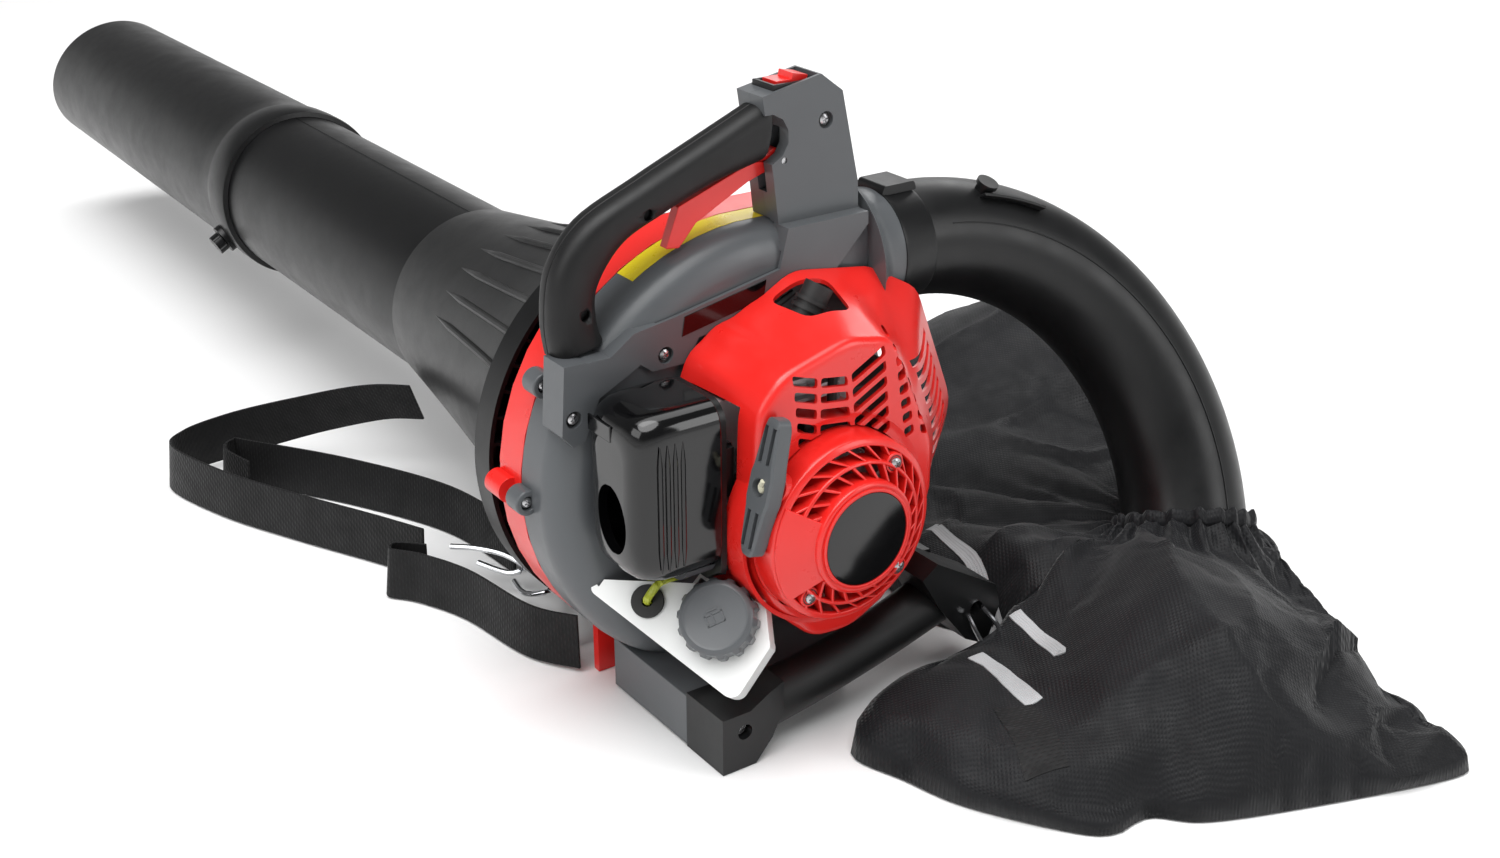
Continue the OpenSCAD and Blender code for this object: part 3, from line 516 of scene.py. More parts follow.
collar, mouth = far_high.x, far_low.x
FAR_R = TUBE_R + 2.3
far_profile = [(collar, TUBE_R + 0.3), (collar - 1, TUBE_R + 4.4), (collar - 3, TUBE_R + 5),
               (collar - 20, TUBE_R + 5),
               (collar - 34, TUBE_R + 4.4), (collar - 42, TUBE_R + 2.8), (collar - 46, FAR_R)]
steps = 24
for k in range(1, steps + 1):
    x = collar - 46 + (mouth - collar + 46) * k / steps
    far_profile.append((x, FAR_R - 3.5 * k / steps))
far_profile += [(mouth, FAR_R - 6), (collar - 50, TUBE_R + 0.1), (collar - 44, TUBE_R + 0.3)]
far_shape = Shape().add(turned(far_profile, 120))
top = AXIS_Z + TUBE_R
far_shape.add(prism([(-24, top - 2), (24, top - 2), (21, top + 7.5), (-21, top + 7.5)], collar - 62,
                    collar - 22))
for turn in (0, 180):
    seam = [Vector((x, 0, AXIS_Z + FAR_R - 3.5 * (collar - 46 - x) / (collar - 46 - mouth)))
            for x in range(int(mouth) + 90, int(collar) - 60, 20)]
    far_shape.add(sweep(seam, [(-0.7, -0.5), (0.7, -0.5), (0.3, 0.45), (-0.3, 0.45)],
                        Vector((0, 1, 0))),
                  Matrix.Translation((0, 0, AXIS_Z)) @ Matrix.Rotation(math.radians(turn), 4,
                      "X") @ Matrix.Translation((0, 0, -AXIS_Z)))
knob_joint = next(j for j in frame["joints"] if j["name"] == "knob_turn")
knob_at, knob_axis = Vector(knob_joint["pos_m"]) / MM, Vector(knob_joint["axis"])
far_shape.add(disc(13, -9, -0.6), facing(knob_at, knob_axis))
far_piece = piece("far_tube_skin", far_shape, TUBE, stands_for=("far_tube",))
slant = Shape().add(block((-120, -120, -60), (0, 120, 300)),
                    Matrix.Translation((mouth, 0,
                                        AXIS_Z - TUBE_R - 3)) @ Matrix.Rotation(math.radians(22), 4,
                                            "Y"))
cut(far_piece, slant)

# ---------------------------------------------------------------- outlet elbow

BEND_R, BEND_SWEEP, NECK_END = 184, 110, 135
lean = math.radians(28)
bend_down = Vector((math.sin(lean), 0, -math.cos(lean)))
bend_side = Vector((math.cos(lean), 0, math.sin(lean)))
bend_centre = Vector((23, NECK_END, 260)) + BEND_R * bend_down


def bend_frame(degrees):
    """Centre and outward direction of the elbow after turning through the angle."""
    a = math.radians(degrees)
    out = Vector((0, math.sin(a), 0)) - bend_down * math.cos(a)
    return bend_centre + BEND_R * out, out


def bend_ring(degrees, radius, sides=64):
    centre, out = bend_frame(degrees)
    turns = [2 * math.pi * k / sides for k in range(sides)]
    return [centre + radius * (math.cos(t) * out + math.sin(t) * bend_side) for t in turns]


def elbow_radius(degrees):
    return 37.5 + 5.5 * degrees / BEND_SWEEP


outer = [bend_ring(a, elbow_radius(a)) for a in range(0, BEND_SWEEP + 1, 2)]
inner = [bend_ring(a, elbow_radius(a) - 2.4) for a in range(BEND_SWEEP, -1, -2)]
elbow = Shape().add(loft(outer + inner, wrap=True))
elbow.add(turned([(113, 36.6), (113, 39.2), (116, 39.2), (118, 38.6), (136, 38.4), (139, 37.4),
                  (139, 36.6)], 64, (0, 0)), neck_place)
elbow.add(prism(rounded([Vector(p) for p in ((112, 296.5), (140, 296.5), (138, 302.5),
                                             (114, 302.5))], 2), 10, 36))
stud = bend_ring(16, elbow_radius(16) + 0.5)[9]
stud_out = (stud - bend_frame(16)[0]).normalized()
elbow.add(disc(6, -3, 6), facing(stud, stud_out))
elbow.add(disc(7.4, 3.4, 6.2), facing(stud, stud_out))
for side in (16, 48):
    seam = [bend_ring(a, elbow_radius(a) + 0.1)[side] for a in range(6, BEND_SWEEP, 3)]
    elbow.add(sweep(seam, circle(0.5, 6), bend_side))
piece("elbow_skin", elbow, BLACK, stands_for=("outlet_elbow",))
strap_line = [bend_ring(a, elbow_radius(a) + 0.6)[11] for a in range(14, 30, 2)]
piece("elbow_keeper", sweep(strap_line, [(-6, -1), (6, -1), (6, 1), (-6, 1)], bend_side), BLACK,
      edge=0.5)

# ---------------------------------------------------------------- handle

outer_line = curve([Vector((0, y, z)) for y,
                    z in ((-131, 246), (-133, 268), (-128, 298), (-108, 322), (-68, 340),
                          (-24, 358), (17, 375))], 6)
inner_line = curve([Vector((0, y, z)) for y,
                    z in ((-98, 252), (-102, 264), (-101, 284), (-84, 306), (-58, 318), (-24, 330),
                          (12, 338))], 6)
GRIP_X, GRIP_HALF = 40, 13.6


def grip_rings(side):
    rings = []
    for a, b in zip(outer_line, inner_line):
        middle, reach = (a + b) / 2, (a - b) / 2
        ring = []
        for k in range(13):
            t = math.pi * k / 12
            u, v = math.cos(t), math.sin(t)
            u, v = math.copysign(abs(u) ** 0.75, u), v ** 0.75
            ring.append(middle + reach * u + Vector((GRIP_X + side * (0.15 + (GRIP_HALF - 0.15) * v), 0, 0)))
        rings.append(ring)
    return rings


for name, side in (("right", 1), ("left", -1)):
    grip = piece("grip_skin_" + name, loft(grip_rings(side)), GRIP, stands_for=("grip_" + name,),
                 edge=0.8, angle=50)
    holes = Shape()
    for y, z in ((-113, 271), (-70, 322)):
        holes.add(disc(3.6, 8, 30), facing((GRIP_X, y, z), (side, 0, 0)))
    slot = [(-62, 304), (38, 304), (38, 347), (-24, 347), (-34, 341), (-52, 339), (-62, 330)]
    holes.add(prism(slot, 35.4, 44.6))
    cut(grip, holes)


def cross_screws(name, places, radius, replaced):
    """Domed screws with a cross in the head, facing +X, each with a thin black ring round it as painted shade for
    the shaded hollow round the head.
    """
    heads, crosses, painted_shade_rings = Shape(), Shape(), Shape()
    for x, y, z in places:
        place = Matrix.Translation((x, 0, 0))
        heads.add(turned([(0, 0), (2.2, 0), (1.9, radius * 0.6), (1.1, radius * 0.95), (0, radius)],
                         32, (y, z)), place)
        w, arm = 0.5, radius * 0.6
        plus = [(arm, -w), (arm, w), (w, w), (w, arm), (-w, arm), (-w, w), (-arm, w), (-arm, -w),
                (-w, -w), (-w, -arm),
                (w, -arm), (w, -w)]
        crosses.add(prism(plus, 0.9, 4),
                    Matrix.Translation((x, y, z)) @ Matrix.Rotation(math.radians(20), 4, "X"))
        # Painted shade: a thin black ring round each head stands for the shade in the hollow that the head sits
        # in.
        painted_shade_rings.add(turned([(-0.6, radius - 0.3), (0.2, radius + 1.2), (-0.1, radius + 1.3),
                           (-0.6, radius + 1.3)], 32, (y, z)), place)
    cut(piece(name, heads, STEEL, stands_for=(replaced,)), crosses)
    # These rings are painted shade that uses the black rubber finish. There is no rubber part here.
    piece(name + "_painted_shade_rims", painted_shade_rings, RUBBER)


cross_screws("frame_screws", ((60.5, -129, 215), (60.5, -67, 240), (50.3, 54, 358)), 3.4,
             "handle_screws")
cross_screws("starter_cross_screws", ((159.1, 27, 183), (159.1, -33, 114), (159.1, 32, 114)), 3.6,
             "starter_screws")
cross_screws("housing_screws", [(29.1, y, z) for y, z in BOSSES], 3.4, "volute_screws")

# ---------------------------------------------------------------- parts that keep their CAD shape

def finish_node(name, finish, edge=0.0, angle=32, soft=True):
    """Gives a CAD node its material, and rounds its edges with modifiers that leave its mesh alone."""
    obj = frame["nodes"][name]
    obj.data.materials.clear()
    obj.data.materials.append(finish)
    if edge or soft:
        weld = obj.modifiers.new("weld", "WELD")
        weld.merge_threshold = 1e-5
        smoothing = obj.modifiers.new("smooth faces", "NODES")
        smoothing.node_group = smooth_faces(angle)
    if edge:
        bevel(obj, edge, 2, angle)


def smooth_faces(angle):
    """A modifier that shades smooth except across edges sharper than the angle."""
    name = f"smooth_{angle}"
    if name in bpy.data.node_groups:
        return bpy.data.node_groups[name]
    group = bpy.data.node_groups.new(name, "GeometryNodeTree")
    group.interface.new_socket("Geometry", in_out="INPUT", socket_type="NodeSocketGeometry")
    group.interface.new_socket("Geometry", in_out="OUTPUT", socket_type="NodeSocketGeometry")
    start, end = group.nodes.new("NodeGroupInput"), group.nodes.new("NodeGroupOutput")
    faces, sharp = group.nodes.new("GeometryNodeSetShadeSmooth"), group.nodes.new("GeometryNodeSetShadeSmooth")
    turn, over = group.nodes.new("GeometryNodeInputMeshEdgeAngle"), group.nodes.new("FunctionNodeCompare")
    sharp.domain = "EDGE"
    over.operation = "GREATER_THAN"
    over.inputs["B"].default_value = math.radians(angle)
    sharp.inputs["Shade Smooth"].default_value = False
    group.links.new(start.outputs[0], faces.inputs["Geometry"])
    group.links.new(faces.outputs[0], sharp.inputs["Geometry"])
    group.links.new(turn.outputs["Unsigned Angle"], over.inputs["A"])
    group.links.new(over.outputs[0], sharp.inputs["Selection"])
    group.links.new(sharp.outputs[0], end.inputs[0])
    return group


for node, finish, edge in (
        ("intake_shell", RED, 1.0), ("impeller", BLACK, 0), ("shredder_blade", STEEL, 0.3),
        ("impeller_nut", STEEL, 0.3), ("tube_knob", BLACK, 0.8), ("handle_frame_right", GREY, 2.2),
        ("handle_frame_left", GREY, 2.2), ("trigger", RED, 1.2), ("trigger_pin", STEEL, 0),
        ("switch_bezel", BLACK, 0.6), ("stop_rocker", RED, 1.0), ("rocker_pin", STEEL, 0),
        ("throttle_cable", RUBBER, 0),
        ("aux_rear_bracket", BLACK, 2.5), ("aux_front_bracket", BLACK, 2.5),
        ("aux_bolts", STEEL, 0.5),
        ("crankcase", CAST, 0.8), ("crank_bearings", STEEL, 0), ("crankshaft", STEEL, 0),
        ("engine_cylinder", CAST, 0.3),
        ("piston", CAST, 0), ("spark_plug", CERAMIC, 0.3), ("plug_boot", RUBBER, 0.6),
        ("ignition_coil", BLACK, 0.6),
        ("ht_lead", RUBBER, 0), ("flywheel", CAST, 0.4), ("muffler", DARK_STEEL, 2.0),
        ("carburettor", CAST, 0.8),
        ("primer_bulb", PRIMER, 0), ("choke_lever", BLACK, 0.6), ("filter_base", BLACK, 0.6),
        ("filter_foam", FOAM, 0.8),
        ("fuel_tank", TANK, 2.6), ("tank_grommet", RUBBER, 0.4), ("fuel_line", HOSE, 0), 
        ("starter_pulley", BLACK, 0), ("recoil_spring", STEEL, 0)):
    finish_node(node, finish, edge)


# ---------------------------------------------------------------- engine cover

COVER_X = (63.5, 138)
cover_back = [(-60, 224), (-45, 245), (0, 262), (22, 274), (80, 265), (120, 243), (152, 160),
              (148, 138), (110, 108),
              (60, 80), (20, 68), (-10, 70), (-46, 92), (-58, 130)]
cover_front = [(-54, 225), (-38, 244), (10, 257), (42, 251), (76, 176), (76, 146), (66, 104),
               (40, 78),
               (16, 66), (-12, 68), (-42, 96), (-58, 130)]
COVER_SIDES = 144
COVER_MIDDLE = Vector((10, 160))


back_reach, front_reach = [reach_of(rounded(outline, 9), COVER_MIDDLE, COVER_SIDES)
                           for outline in (cover_back, cover_front)]


def crease(angle, t):
    """Depth of the flowing creases on the cover's upper left corner."""
    place = (angle - math.radians(122)) / math.radians(26)
    if abs(place) > 1:
        return 0
    return 1.7 * math.cos(place * math.pi * 3.5) * (1 - place * place) * math.sin(math.pi * min(1,
        0.2 + t))


def cover_ring(x, inset):
    t = min(1, (x - COVER_X[0]) / (COVER_X[1] - 6 - COVER_X[0]))
    ring = []
    for k in range(COVER_SIDES):
        a = 2 * math.pi * k / COVER_SIDES
        r = back_reach[k] * (1 - t) + front_reach[k] * t - inset - crease(a, t)
        ring.append(Vector((x, COVER_MIDDLE.x + r * math.cos(a), COVER_MIDDLE.y + r * math.sin(a))))
    return ring


def toward_starter(ring, share, x):
    """Moves the ring's points from the cover's edge towards the starter's round opening."""
    out = []
    for p in ring:
        flat = Vector((p.y, p.z - AXIS_Z))
        target = flat.normalized() * 58.4
        q = flat.lerp(target, share)
        out.append(Vector((x, q.x, q.y + AXIS_Z)))
    return out


edge_ring = cover_ring(COVER_X[1] - 0.6, 5.5)
rounding = [cover_ring(COVER_X[1] - 6 + 5.4 * math.sin(math.radians(a)),
                       5.5 * (1 - math.cos(math.radians(a))))
            for a in range(0, 90, 15)]
outside = [cover_ring(COVER_X[0] + 68 * k / 12, 0) for k in range(12)] + rounding
outside += [toward_starter(edge_ring, s, COVER_X[1]) for s in (0.04, 0.3, 0.6, 0.85)]
inside = [toward_starter(edge_ring, s, COVER_X[1] - 2.6) for s in (0.85, 0.5, 0.12)]
inside += [cover_ring(x, 2.6) for x in (COVER_X[1] - 7, 118, 98, 80, COVER_X[0])]
skirt_ring = [toward_starter(edge_ring, 1, x) for x in (COVER_X[1], COVER_X[1] - 2.6)]
cover = piece("cover_skin", loft(outside + [skirt_ring[0], skirt_ring[1]] + inside, wrap=True), RED,
              stands_for=("engine_cover",))
cut(cover, Shape().add(turned([(104, 63.4), (138, 63.4), (138.6, 66), (104, 66)], 96)), "UNION")
openings = Shape()
openings.add(loft([[(x, y, z) for x, y in rounded([Vector(p) for p in ((70, 0), (104, 6), (108, 34),
    (74, 40))], 8)]
                   for z in (240, 300)]))
openings.add(prism([(-90, 100), (-47, 100), (-47, 150), (-28, 150), (-28, 206), (-47, 206),
                    (-47, 224), (-90, 224)], 58, 119))
cut(cover, openings)


def slat(corners, x0, x1):
    """A slot with round corners, as a cutter from x0 to x1."""
    outline = rounded([Vector(c) for c in corners], 2, 3)
    return prism(outline, x0, x1)


slots = Shape()
for row in range(6):
    z = 242 - 9.6 * row
    slots.add(slat([(-31 + row, z + 1.5), (-14, z - 3.5), (-14, z - 9.5), (-31 + row, z - 4.5)],
                   122, 150))
    slots.add(slat([(-11.5, z - 4), (7 + row, z - 7), (8 + row, z - 13), (-11.5, z - 10)], 122,
                   150))
    slots.add(slat([(10 + row, z - 6.5), (34 + row, z + 6), (35 + row, z - 0.5),
                    (11 + row, z - 12.5)], 122, 150))
for row in range(7):
    z = 243 - 9.4 * row
    slots.add(slat([(41 + row * 1.6, z + 4), (48 + row * 1.6, z + 6), (49 + row * 1.6, z),
                    (42 + row * 1.6, z - 2)], 110, 150))
    slots.add(slat([(52 + row * 1.8, z + 4), (58 + row * 1.8, z + 2), (59 + row * 1.8, z - 4),
                    (53 + row * 1.8, z - 2)], 100, 150))
cut(cover, slots)
side_slots = Shape()
for row in range(10):
    z = 220 - 8.6 * row
    line = [Vector((x, 100 - 0.35 * (x - 66),
                    z - 7 * math.sin(math.pi * (x - 66) / 60))) for x in range(72, 125, 8)]
    shift = Vector((0, 22 - abs(row - 6) * 1.4, 0))
    side_slots.add(sweep([p + shift for p in line],
                         [(-2.3, -26), (2.3, -26), (2.3, 26), (-2.3, 26)], UP))
cut(cover, side_slots)
cut(cover, Shape().add(disc(6, -6, 14), facing((96, 92, 262), (0.2, 0.3, 1))))
bevel(cover, 0.5, 2)

# ---------------------------------------------------------------- recoil starter

face = [(133.5, 55), (133.5, 57.4), (152, 57.4), (154.5, 56.6), (156, 54.6), (156.4, 52.5),
        (154, 51.5), (151, 54.5)]
starter = Shape().add(turned(face, 96))
starter.add(turned([(148, 42.5), (160.2, 42.5), (161.2, 43.6), (160.4, 45), (148, 45)], 96))
starter.add(turned([(150, 0), (164, 0), (166.5, 20), (168, 30), (168.4, 33), (167.4, 34.4),
                    (164, 35), (150, 34)], 96))
starter.add(disc(5, 141.5, 152), facing((0, 0, AXIS_Z), (1, 0, 0)))
for k in range(24):
    a = 2 * math.pi * k / 24
    if 150 < math.degrees(a) < 215:
        continue
    for r0, r1, x0, x1, swirl in ((33, 44, 164, 160.6, 0.12), (43.5, 56, 160.6, 155, 0.16)):
        ends = []
        for r, x, turn in ((r0, x0, a - swirl), (r1, x1, a + swirl)):
            middle = Vector((x, r * math.cos(turn), AXIS_Z + r * math.sin(turn)))
            side = Vector((0, -math.sin(turn), math.cos(turn))) * 1.1
            ends.append([middle - side, middle + side, middle + side - Vector((7, 0, 0)),
                         middle - side - Vector((7, 0, 0))])
        starter.add(loft(ends))
solid_side = []
for k in range(9):
    a = math.radians(150 + 65 * k / 8)
    ring = [(r * math.cos(a), r * math.sin(a)) for r in (33, 56, 56, 33)]
    solid_side.append([Vector((x, y, AXIS_Z + z)) for x,
                       (y, z) in zip((166, 156.5, 150, 150), ring)])
starter.add(loft(solid_side))
for y, z in ((27, 37), (-33, -32), (32, -32)):
    starter.add(disc(6.2, 138, 159), facing((0, y, AXIS_Z + z), (1, 0, 0)))
pull_joint = next(j for j in frame["joints"] if j["name"] == "starter_pull")
PULL = Vector(pull_joint["axis"]).normalized()
KNOT = Vector((145, -52, 184))
starter.add(disc(8.5, 5, 16, 32), facing(KNOT, -PULL))
piece("starter_skin", starter, RED, stands_for=("starter_housing",), edge=0.5)
badge = Shape().add(turned([(167.6, 0), (169.4, 0), (169.2, 26.5), (168.9, 28.6), (167.6, 29)], 96))
piece("badge_skin", badge, GLOSS, stands_for=("starter_badge",))
piece("badge_ring", Shape().add(turned([(168, 28.9), (169.3, 29.1), (169.5, 30), (169.2, 31),
                                        (168, 31.2)], 96)), RED)

cord_path = [KNOT - PULL * (61 - 59 * k / 60) for k in range(61)]
cord = piece("starter_cord", sweep(cord_path, circle(1.6, 12), Vector((1, 0, 0))), ROPE, body=None,
             stands_for=("starter_rope",))
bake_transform(cord)

grip_place = Matrix.Translation(KNOT) @ Matrix.Rotation(math.radians(-13.9), 4, "X")
handle_outline = [(-5.5, 41), (5.5, 41), (8.5, 14), (10, 8), (10, -8), (8.5, -14), (5.5, -41),
                  (-5.5, -41), (-8.5, -14),
                  (-10, -8), (-10, 8), (-8.5, 14)]
bar = rounded([Vector(p) for p in handle_outline], 4, 4)
bar_rings = [[Vector((u * s, y, w * s)) for u, w in bar] for y,
             s in ((-8, 0.9), (-6.5, 1), (1.5, 1), (3, 0.92))]
tee = Shape().add(loft(bar_rings))
tee_piece = piece("tee_grip", tee, GREY, body=None)
slots = Shape()
for side in (-1, 1):
    for end in (-1, 1):
        low, high = sorted((end * 14, end * 36))
        slots.add(block((side * 3.6 - 1.5, -20, low), (side * 3.6 + 1.5, -1.5, high)))
slots.add(disc(5.5, 4, 20), facing((0, 0, 0), (0, -1, 0)))
cut(tee_piece, slots)
tee_piece.data.transform(Matrix.Diagonal((MM, MM, MM, 1)).inverted())
tee_piece.data.transform(grip_place)
tee_piece.data.transform(Matrix.Diagonal((MM, MM, MM, 1)))
bevel(tee_piece, 0.6, 2)
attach(tee_piece, "pull_grip")
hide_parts("starter_grip")
knot_shape = Shape().add(ball((3.2, 2.4, 3.6), 12),
                         grip_place @ Matrix.Translation((0.5, -5.5, 0.5)))
knot_shape.add(sweep([grip_place @ Vector(p) for p in ((1, -6, 1), (2.5, -8, 3), (3.5, -8.6, 5.4))],
                     circle(1.5, 8), Vector((1, 0, 0))))
piece("cord_knot", knot_shape, ROPE, body="pull_grip")

# ---------------------------------------------------------------- air filter cover

def filter_ring(y, grow):
    x0, x1, z0, z1 = 63.4 - grow, 124.6 + grow, 127 - grow, 232 + grow
    return [Vector((x, y, z)) for x, z in rounded([Vector(p) for p in ((x0, z0), (x1, z0), (x1, z1),
        (x0, z1))], 17, 6)]


steps = [(-70.1, -0.6), (-71, 0), (-96, 0), (-106, -0.3), (-112, -1.2), (-118, -3.2), (-122, -6.4),
         (-124.4, -11), (-125, -17)]
filter_piece = piece("filter_cover_skin", loft([filter_ring(y, g) for y, g in steps]), GLOSS,
                     stands_for=("filter_cover",))
hollow = Shape().add(loft([filter_ring(y, g - 2.6) for y, g in ((-66, 0), (-110, -1), (-119, -6))]))
cut(filter_piece, hollow)
scoop = Shape().add(ball((15, 24, 21)), Matrix.Translation((94, -126,
                                                            164)) @ Matrix.Rotation(math.radians(-8), 4, "Y"))
cut(filter_piece, scoop)
cap_joint = next(j for j in frame["joints"] if j["name"] == "cap_turn")
cap_place = facing(Vector(cap_joint["pos_m"]) / MM, cap_joint["axis"])
cut(filter_piece, Shape().add(disc(26, -6, 40, 64), cap_place))
bevel(filter_piece, 1.6, 3)
ribs = Shape()
for k, y in enumerate((-96, -101, -106, -111)):
    line = [Vector((124.6, y, z)) for z in range(138, 219, 6)]
    ribs.add(sweep(line, circle(1.5, 10), Vector((1, 0, 0)),
                   [min(1, 0.15 + 0.5 * min(i, len(line) - 1 - i)) for i in range(len(line))]))
piece("filter_cover_ribs", ribs, GLOSS)
throat = Shape().add(ball((12, 3, 17)), Matrix.Translation((94, -108, 164)))
piece("filter_scoop_floor", throat, BLACK)
latch = Shape().add(block((72, -125.6, 212), (96, -124, 222)))
piece("filter_cover_panel", latch, GLOSS, edge=0.6)

# ---------------------------------------------------------------- fuel cap

CAP_RIBS, CAP_SIDES = 14, 168


def cap_ring(z, radius, depth):
    ring = []
    for k in range(CAP_SIDES):
        a = 2 * math.pi * k / CAP_SIDES
        wave = max(-1, min(1, 2.4 * math.cos(CAP_RIBS * a)))
        r = radius + depth * wave
        ring.append(Vector((r * math.cos(a), r * math.sin(a), z)))
    return ring


cap_rings = [cap_ring(*s) for s in ((0.8, 22.4, 0.6), (1.2, 23.1, 0.9), (11.5, 23.1, 0.9),
                                    (13, 22.6, 0.4), (15.6, 22, 0),
                                    (17, 20.6, 0), (17.5, 19, 0), (17.2, 18.2, 0), (17.0, 17.4, 0))]
cap = Shape().add(loft(cap_rings), cap_place)
for low, high in (((-4, -5, 16.9), (3, -4, 17.6)), ((-4, 5, 16.9), (3, 6, 17.6)),
                  ((-4, -5, 16.9), (-3, 6, 17.6)),
                  ((2, -5, 16.9), (3, 6, 17.6)), ((-4, 1, 16.9), (3, 1.8, 17.6)),
                  ((4.4, -3, 16.9), (5.2, 4, 17.6))):
    cap.add(block(low, high), cap_place @ Matrix.Rotation(math.radians(120), 4, "Z"))
piece("cap_skin", cap, GREY, body="cap", stands_for=("fuel_cap",), angle=28)

# ---------------------------------------------------------------- auxiliary handle

bar_line = curve([(121, -49, 25), (122, 0, 33), (122, 50, 44), (121, 98, 57)], 10)
bar_outline = [(17 * math.cos(2 * math.pi * k / 40),
                17 * math.sin(2 * math.pi * k / 40)) for k in range(40)]
waist = [1 - 0.05 * math.sin(math.pi * i / (len(bar_line) - 1)) for i in range(len(bar_line))]
piece("aux_bar_skin", sweep(bar_line, bar_outline, UP, waist), GRIP, stands_for=("aux_handle",))


# ---------------------------------------------------------------- webbing

def lay_threads(obj, ring_size, across):
    """UVs in metres for a swept strip: across its outline, then along its length."""
    mesh, layer = obj.data, obj.data.uv_layers.new(name="threads")
    along = [0.0]
    rings = len(mesh.vertices) // ring_size
    centres = [sum((mesh.vertices[r * ring_size + j].co for j in range(ring_size)),
                   Vector()) / ring_size for r in range(rings)]
    for a, b in zip(centres, centres[1:]):
        along.append(along[-1] + (b - a).length)
    for poly in mesh.polygons:
        for loop, v in zip(poly.loop_indices, poly.vertices):
            ring, j = divmod(v, ring_size)
            layer.data[loop].uv = (across[j] * MM, along[min(ring, rings - 1)])


WEB_W, WEB_T = 38, 1.8
web_outline = [(-WEB_W / 2, -WEB_T / 2), (0, -WEB_T / 2), (WEB_W / 2, -WEB_T / 2),
               (WEB_W / 2, WEB_T / 2), (0, WEB_T / 2),
               (-WEB_W / 2, WEB_T / 2)]


def webbing(name, points, leans):
    path, lean, outline = curve(points, 8), curve(leans, 8), web_outline
    strap = piece(name, sweep(path, outline, lean), WEBBING, edge=0.5, angle=50)
    lay_threads(strap, len(outline), [u for u, v in outline])
    length = sum((b - a).length for a, b in zip(path, path[1:])) * MM
    width = (max(u for u, v in outline) - min(u for u, v in outline)) * MM
    return strap


loop_line = [(-322, -52, 70), (-350, -76, 66), (-396, -112, 48), (-438, -158, 28), (-446, -196, 20),
             (-424, -216, 19.5),
             (-357, -200, 19.5), (-291, -171, 19.5), (-225, -138, 19.5), (-182, -118, 19.5)]
inner_loop = [(-150, -62, 20), (-234, -72, 19.5), (-320, -112, 19.5), (-396, -162, 19.5),
              (-408, -172, 19.5),
              (-396, -184, 19.5), (-360, -178, 19.5)]
tail_line = [(-9.5, -92, 22), (-45, -110, 20), (-110, -120, 19.5), (-150, -136, 19.5),
             (-170, -150, 19.5),
             (-176, -142, 19.5), (-160, -126, 19.5)]
upright = [(0.05, 0.1, 1)]
outer_loop = webbing("strap_outer_loop", loop_line,
                     [(0.3, -0.35, 1), (0.3, -0.3, 1), (0.25, -0.2, 1), (0.1, 0, 1)] + upright * 6)
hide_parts("shoulder_strap")
webbing("strap_inner_loop", inner_loop, upright * 7)
webbing("strap_tail", tail_line, upright * 7)
finish_node("strap_hook", CHROME)
finish_node("bag_clip", CHROME)

# ---------------------------------------------------------------- collection bag

BAG_SIDES, BAG_RINGS, BAG_UNDER = 240, 64, 8
MOUTH_ANGLE = 107
bag_edge = [(392, 268), (388, 290), (362, 302), (300, 318), (236, 340), (170, 372), (90, 404),
            (-30, 462), (-130, 526),
            (-200, 532), (-256, 484), (-262, 400), (-236, 318), (-160, 238), (-70, 182), (0, 148),
            (66, 134), (104, 146),
            (142, 146), (156, 128), (160, 70), (158, 10), (172, -8), (206, 2), (246, 14), (298, 46),
            (316, 66), (316, 94),
            (338, 118), (364, 182)]
ridge_line = curve([(158, 262, 66), (190, 226, 84), (240, 186, 88), (298, 171, 72), (345, 184, 50),
                    (384, 240, 16)], 5)
mouth_middle, mouth_out = bend_frame(MOUTH_ANGLE)
BAG_MIDDLE = Vector((180, 250))


def ridge_lift(x, y):
    """Height of the stiff fold that runs from the mouth to the right-hand tip."""
    p, best, lift = Vector((x, y)), 1e9, 0
    for a, b in zip(ridge_line, ridge_line[1:]):
        run = (b - a).to_2d()
        t = min(1, max(0, (p - a.to_2d()).dot(run) / run.dot(run)))
        gap = p - a.to_2d() - run * t
        if gap.length < best:
            best = gap.length
            left = run.x * gap.y - run.y * gap.x < 0
            lift = (a.z + (b.z - a.z) * t) - best * (0.62 if left else 0.42)
    return lift


def bag_height(x, y):
    """How high the slack bag stands over the ground, away from its edges."""
    slack = 40 + 66 * math.exp(-((x + 170) / 130) ** 2 - ((y - 430) / 120) ** 2)
    slack += 16 * math.exp(-((x - 120) / 60) ** 2 - ((y - 190) / 50) ** 2)
    slack -= 16 * min(1, max(0, (x - 190) / 120))
    fold = ridge_lift(x, y)
    soft = 7
    return soft * math.log(math.exp(slack / soft) + math.exp(fold / soft))


def folds(x, y):
    """Long soft folds and short creases of slack cloth."""
    long_folds = noise.noise(Vector((x * 0.008 + 0.003 * y, y * 0.015, 3.1)))
    creases = 1 - abs(noise.noise(Vector((x * 0.013 + 5, y * 0.009 + 2, 9.7)))) * 3.2
    small = noise.noise(Vector((x * 0.035, y * 0.025, 1.3)))
    return 9 * long_folds + 6 * max(0, creases) ** 2 - 2 + 1.6 * small


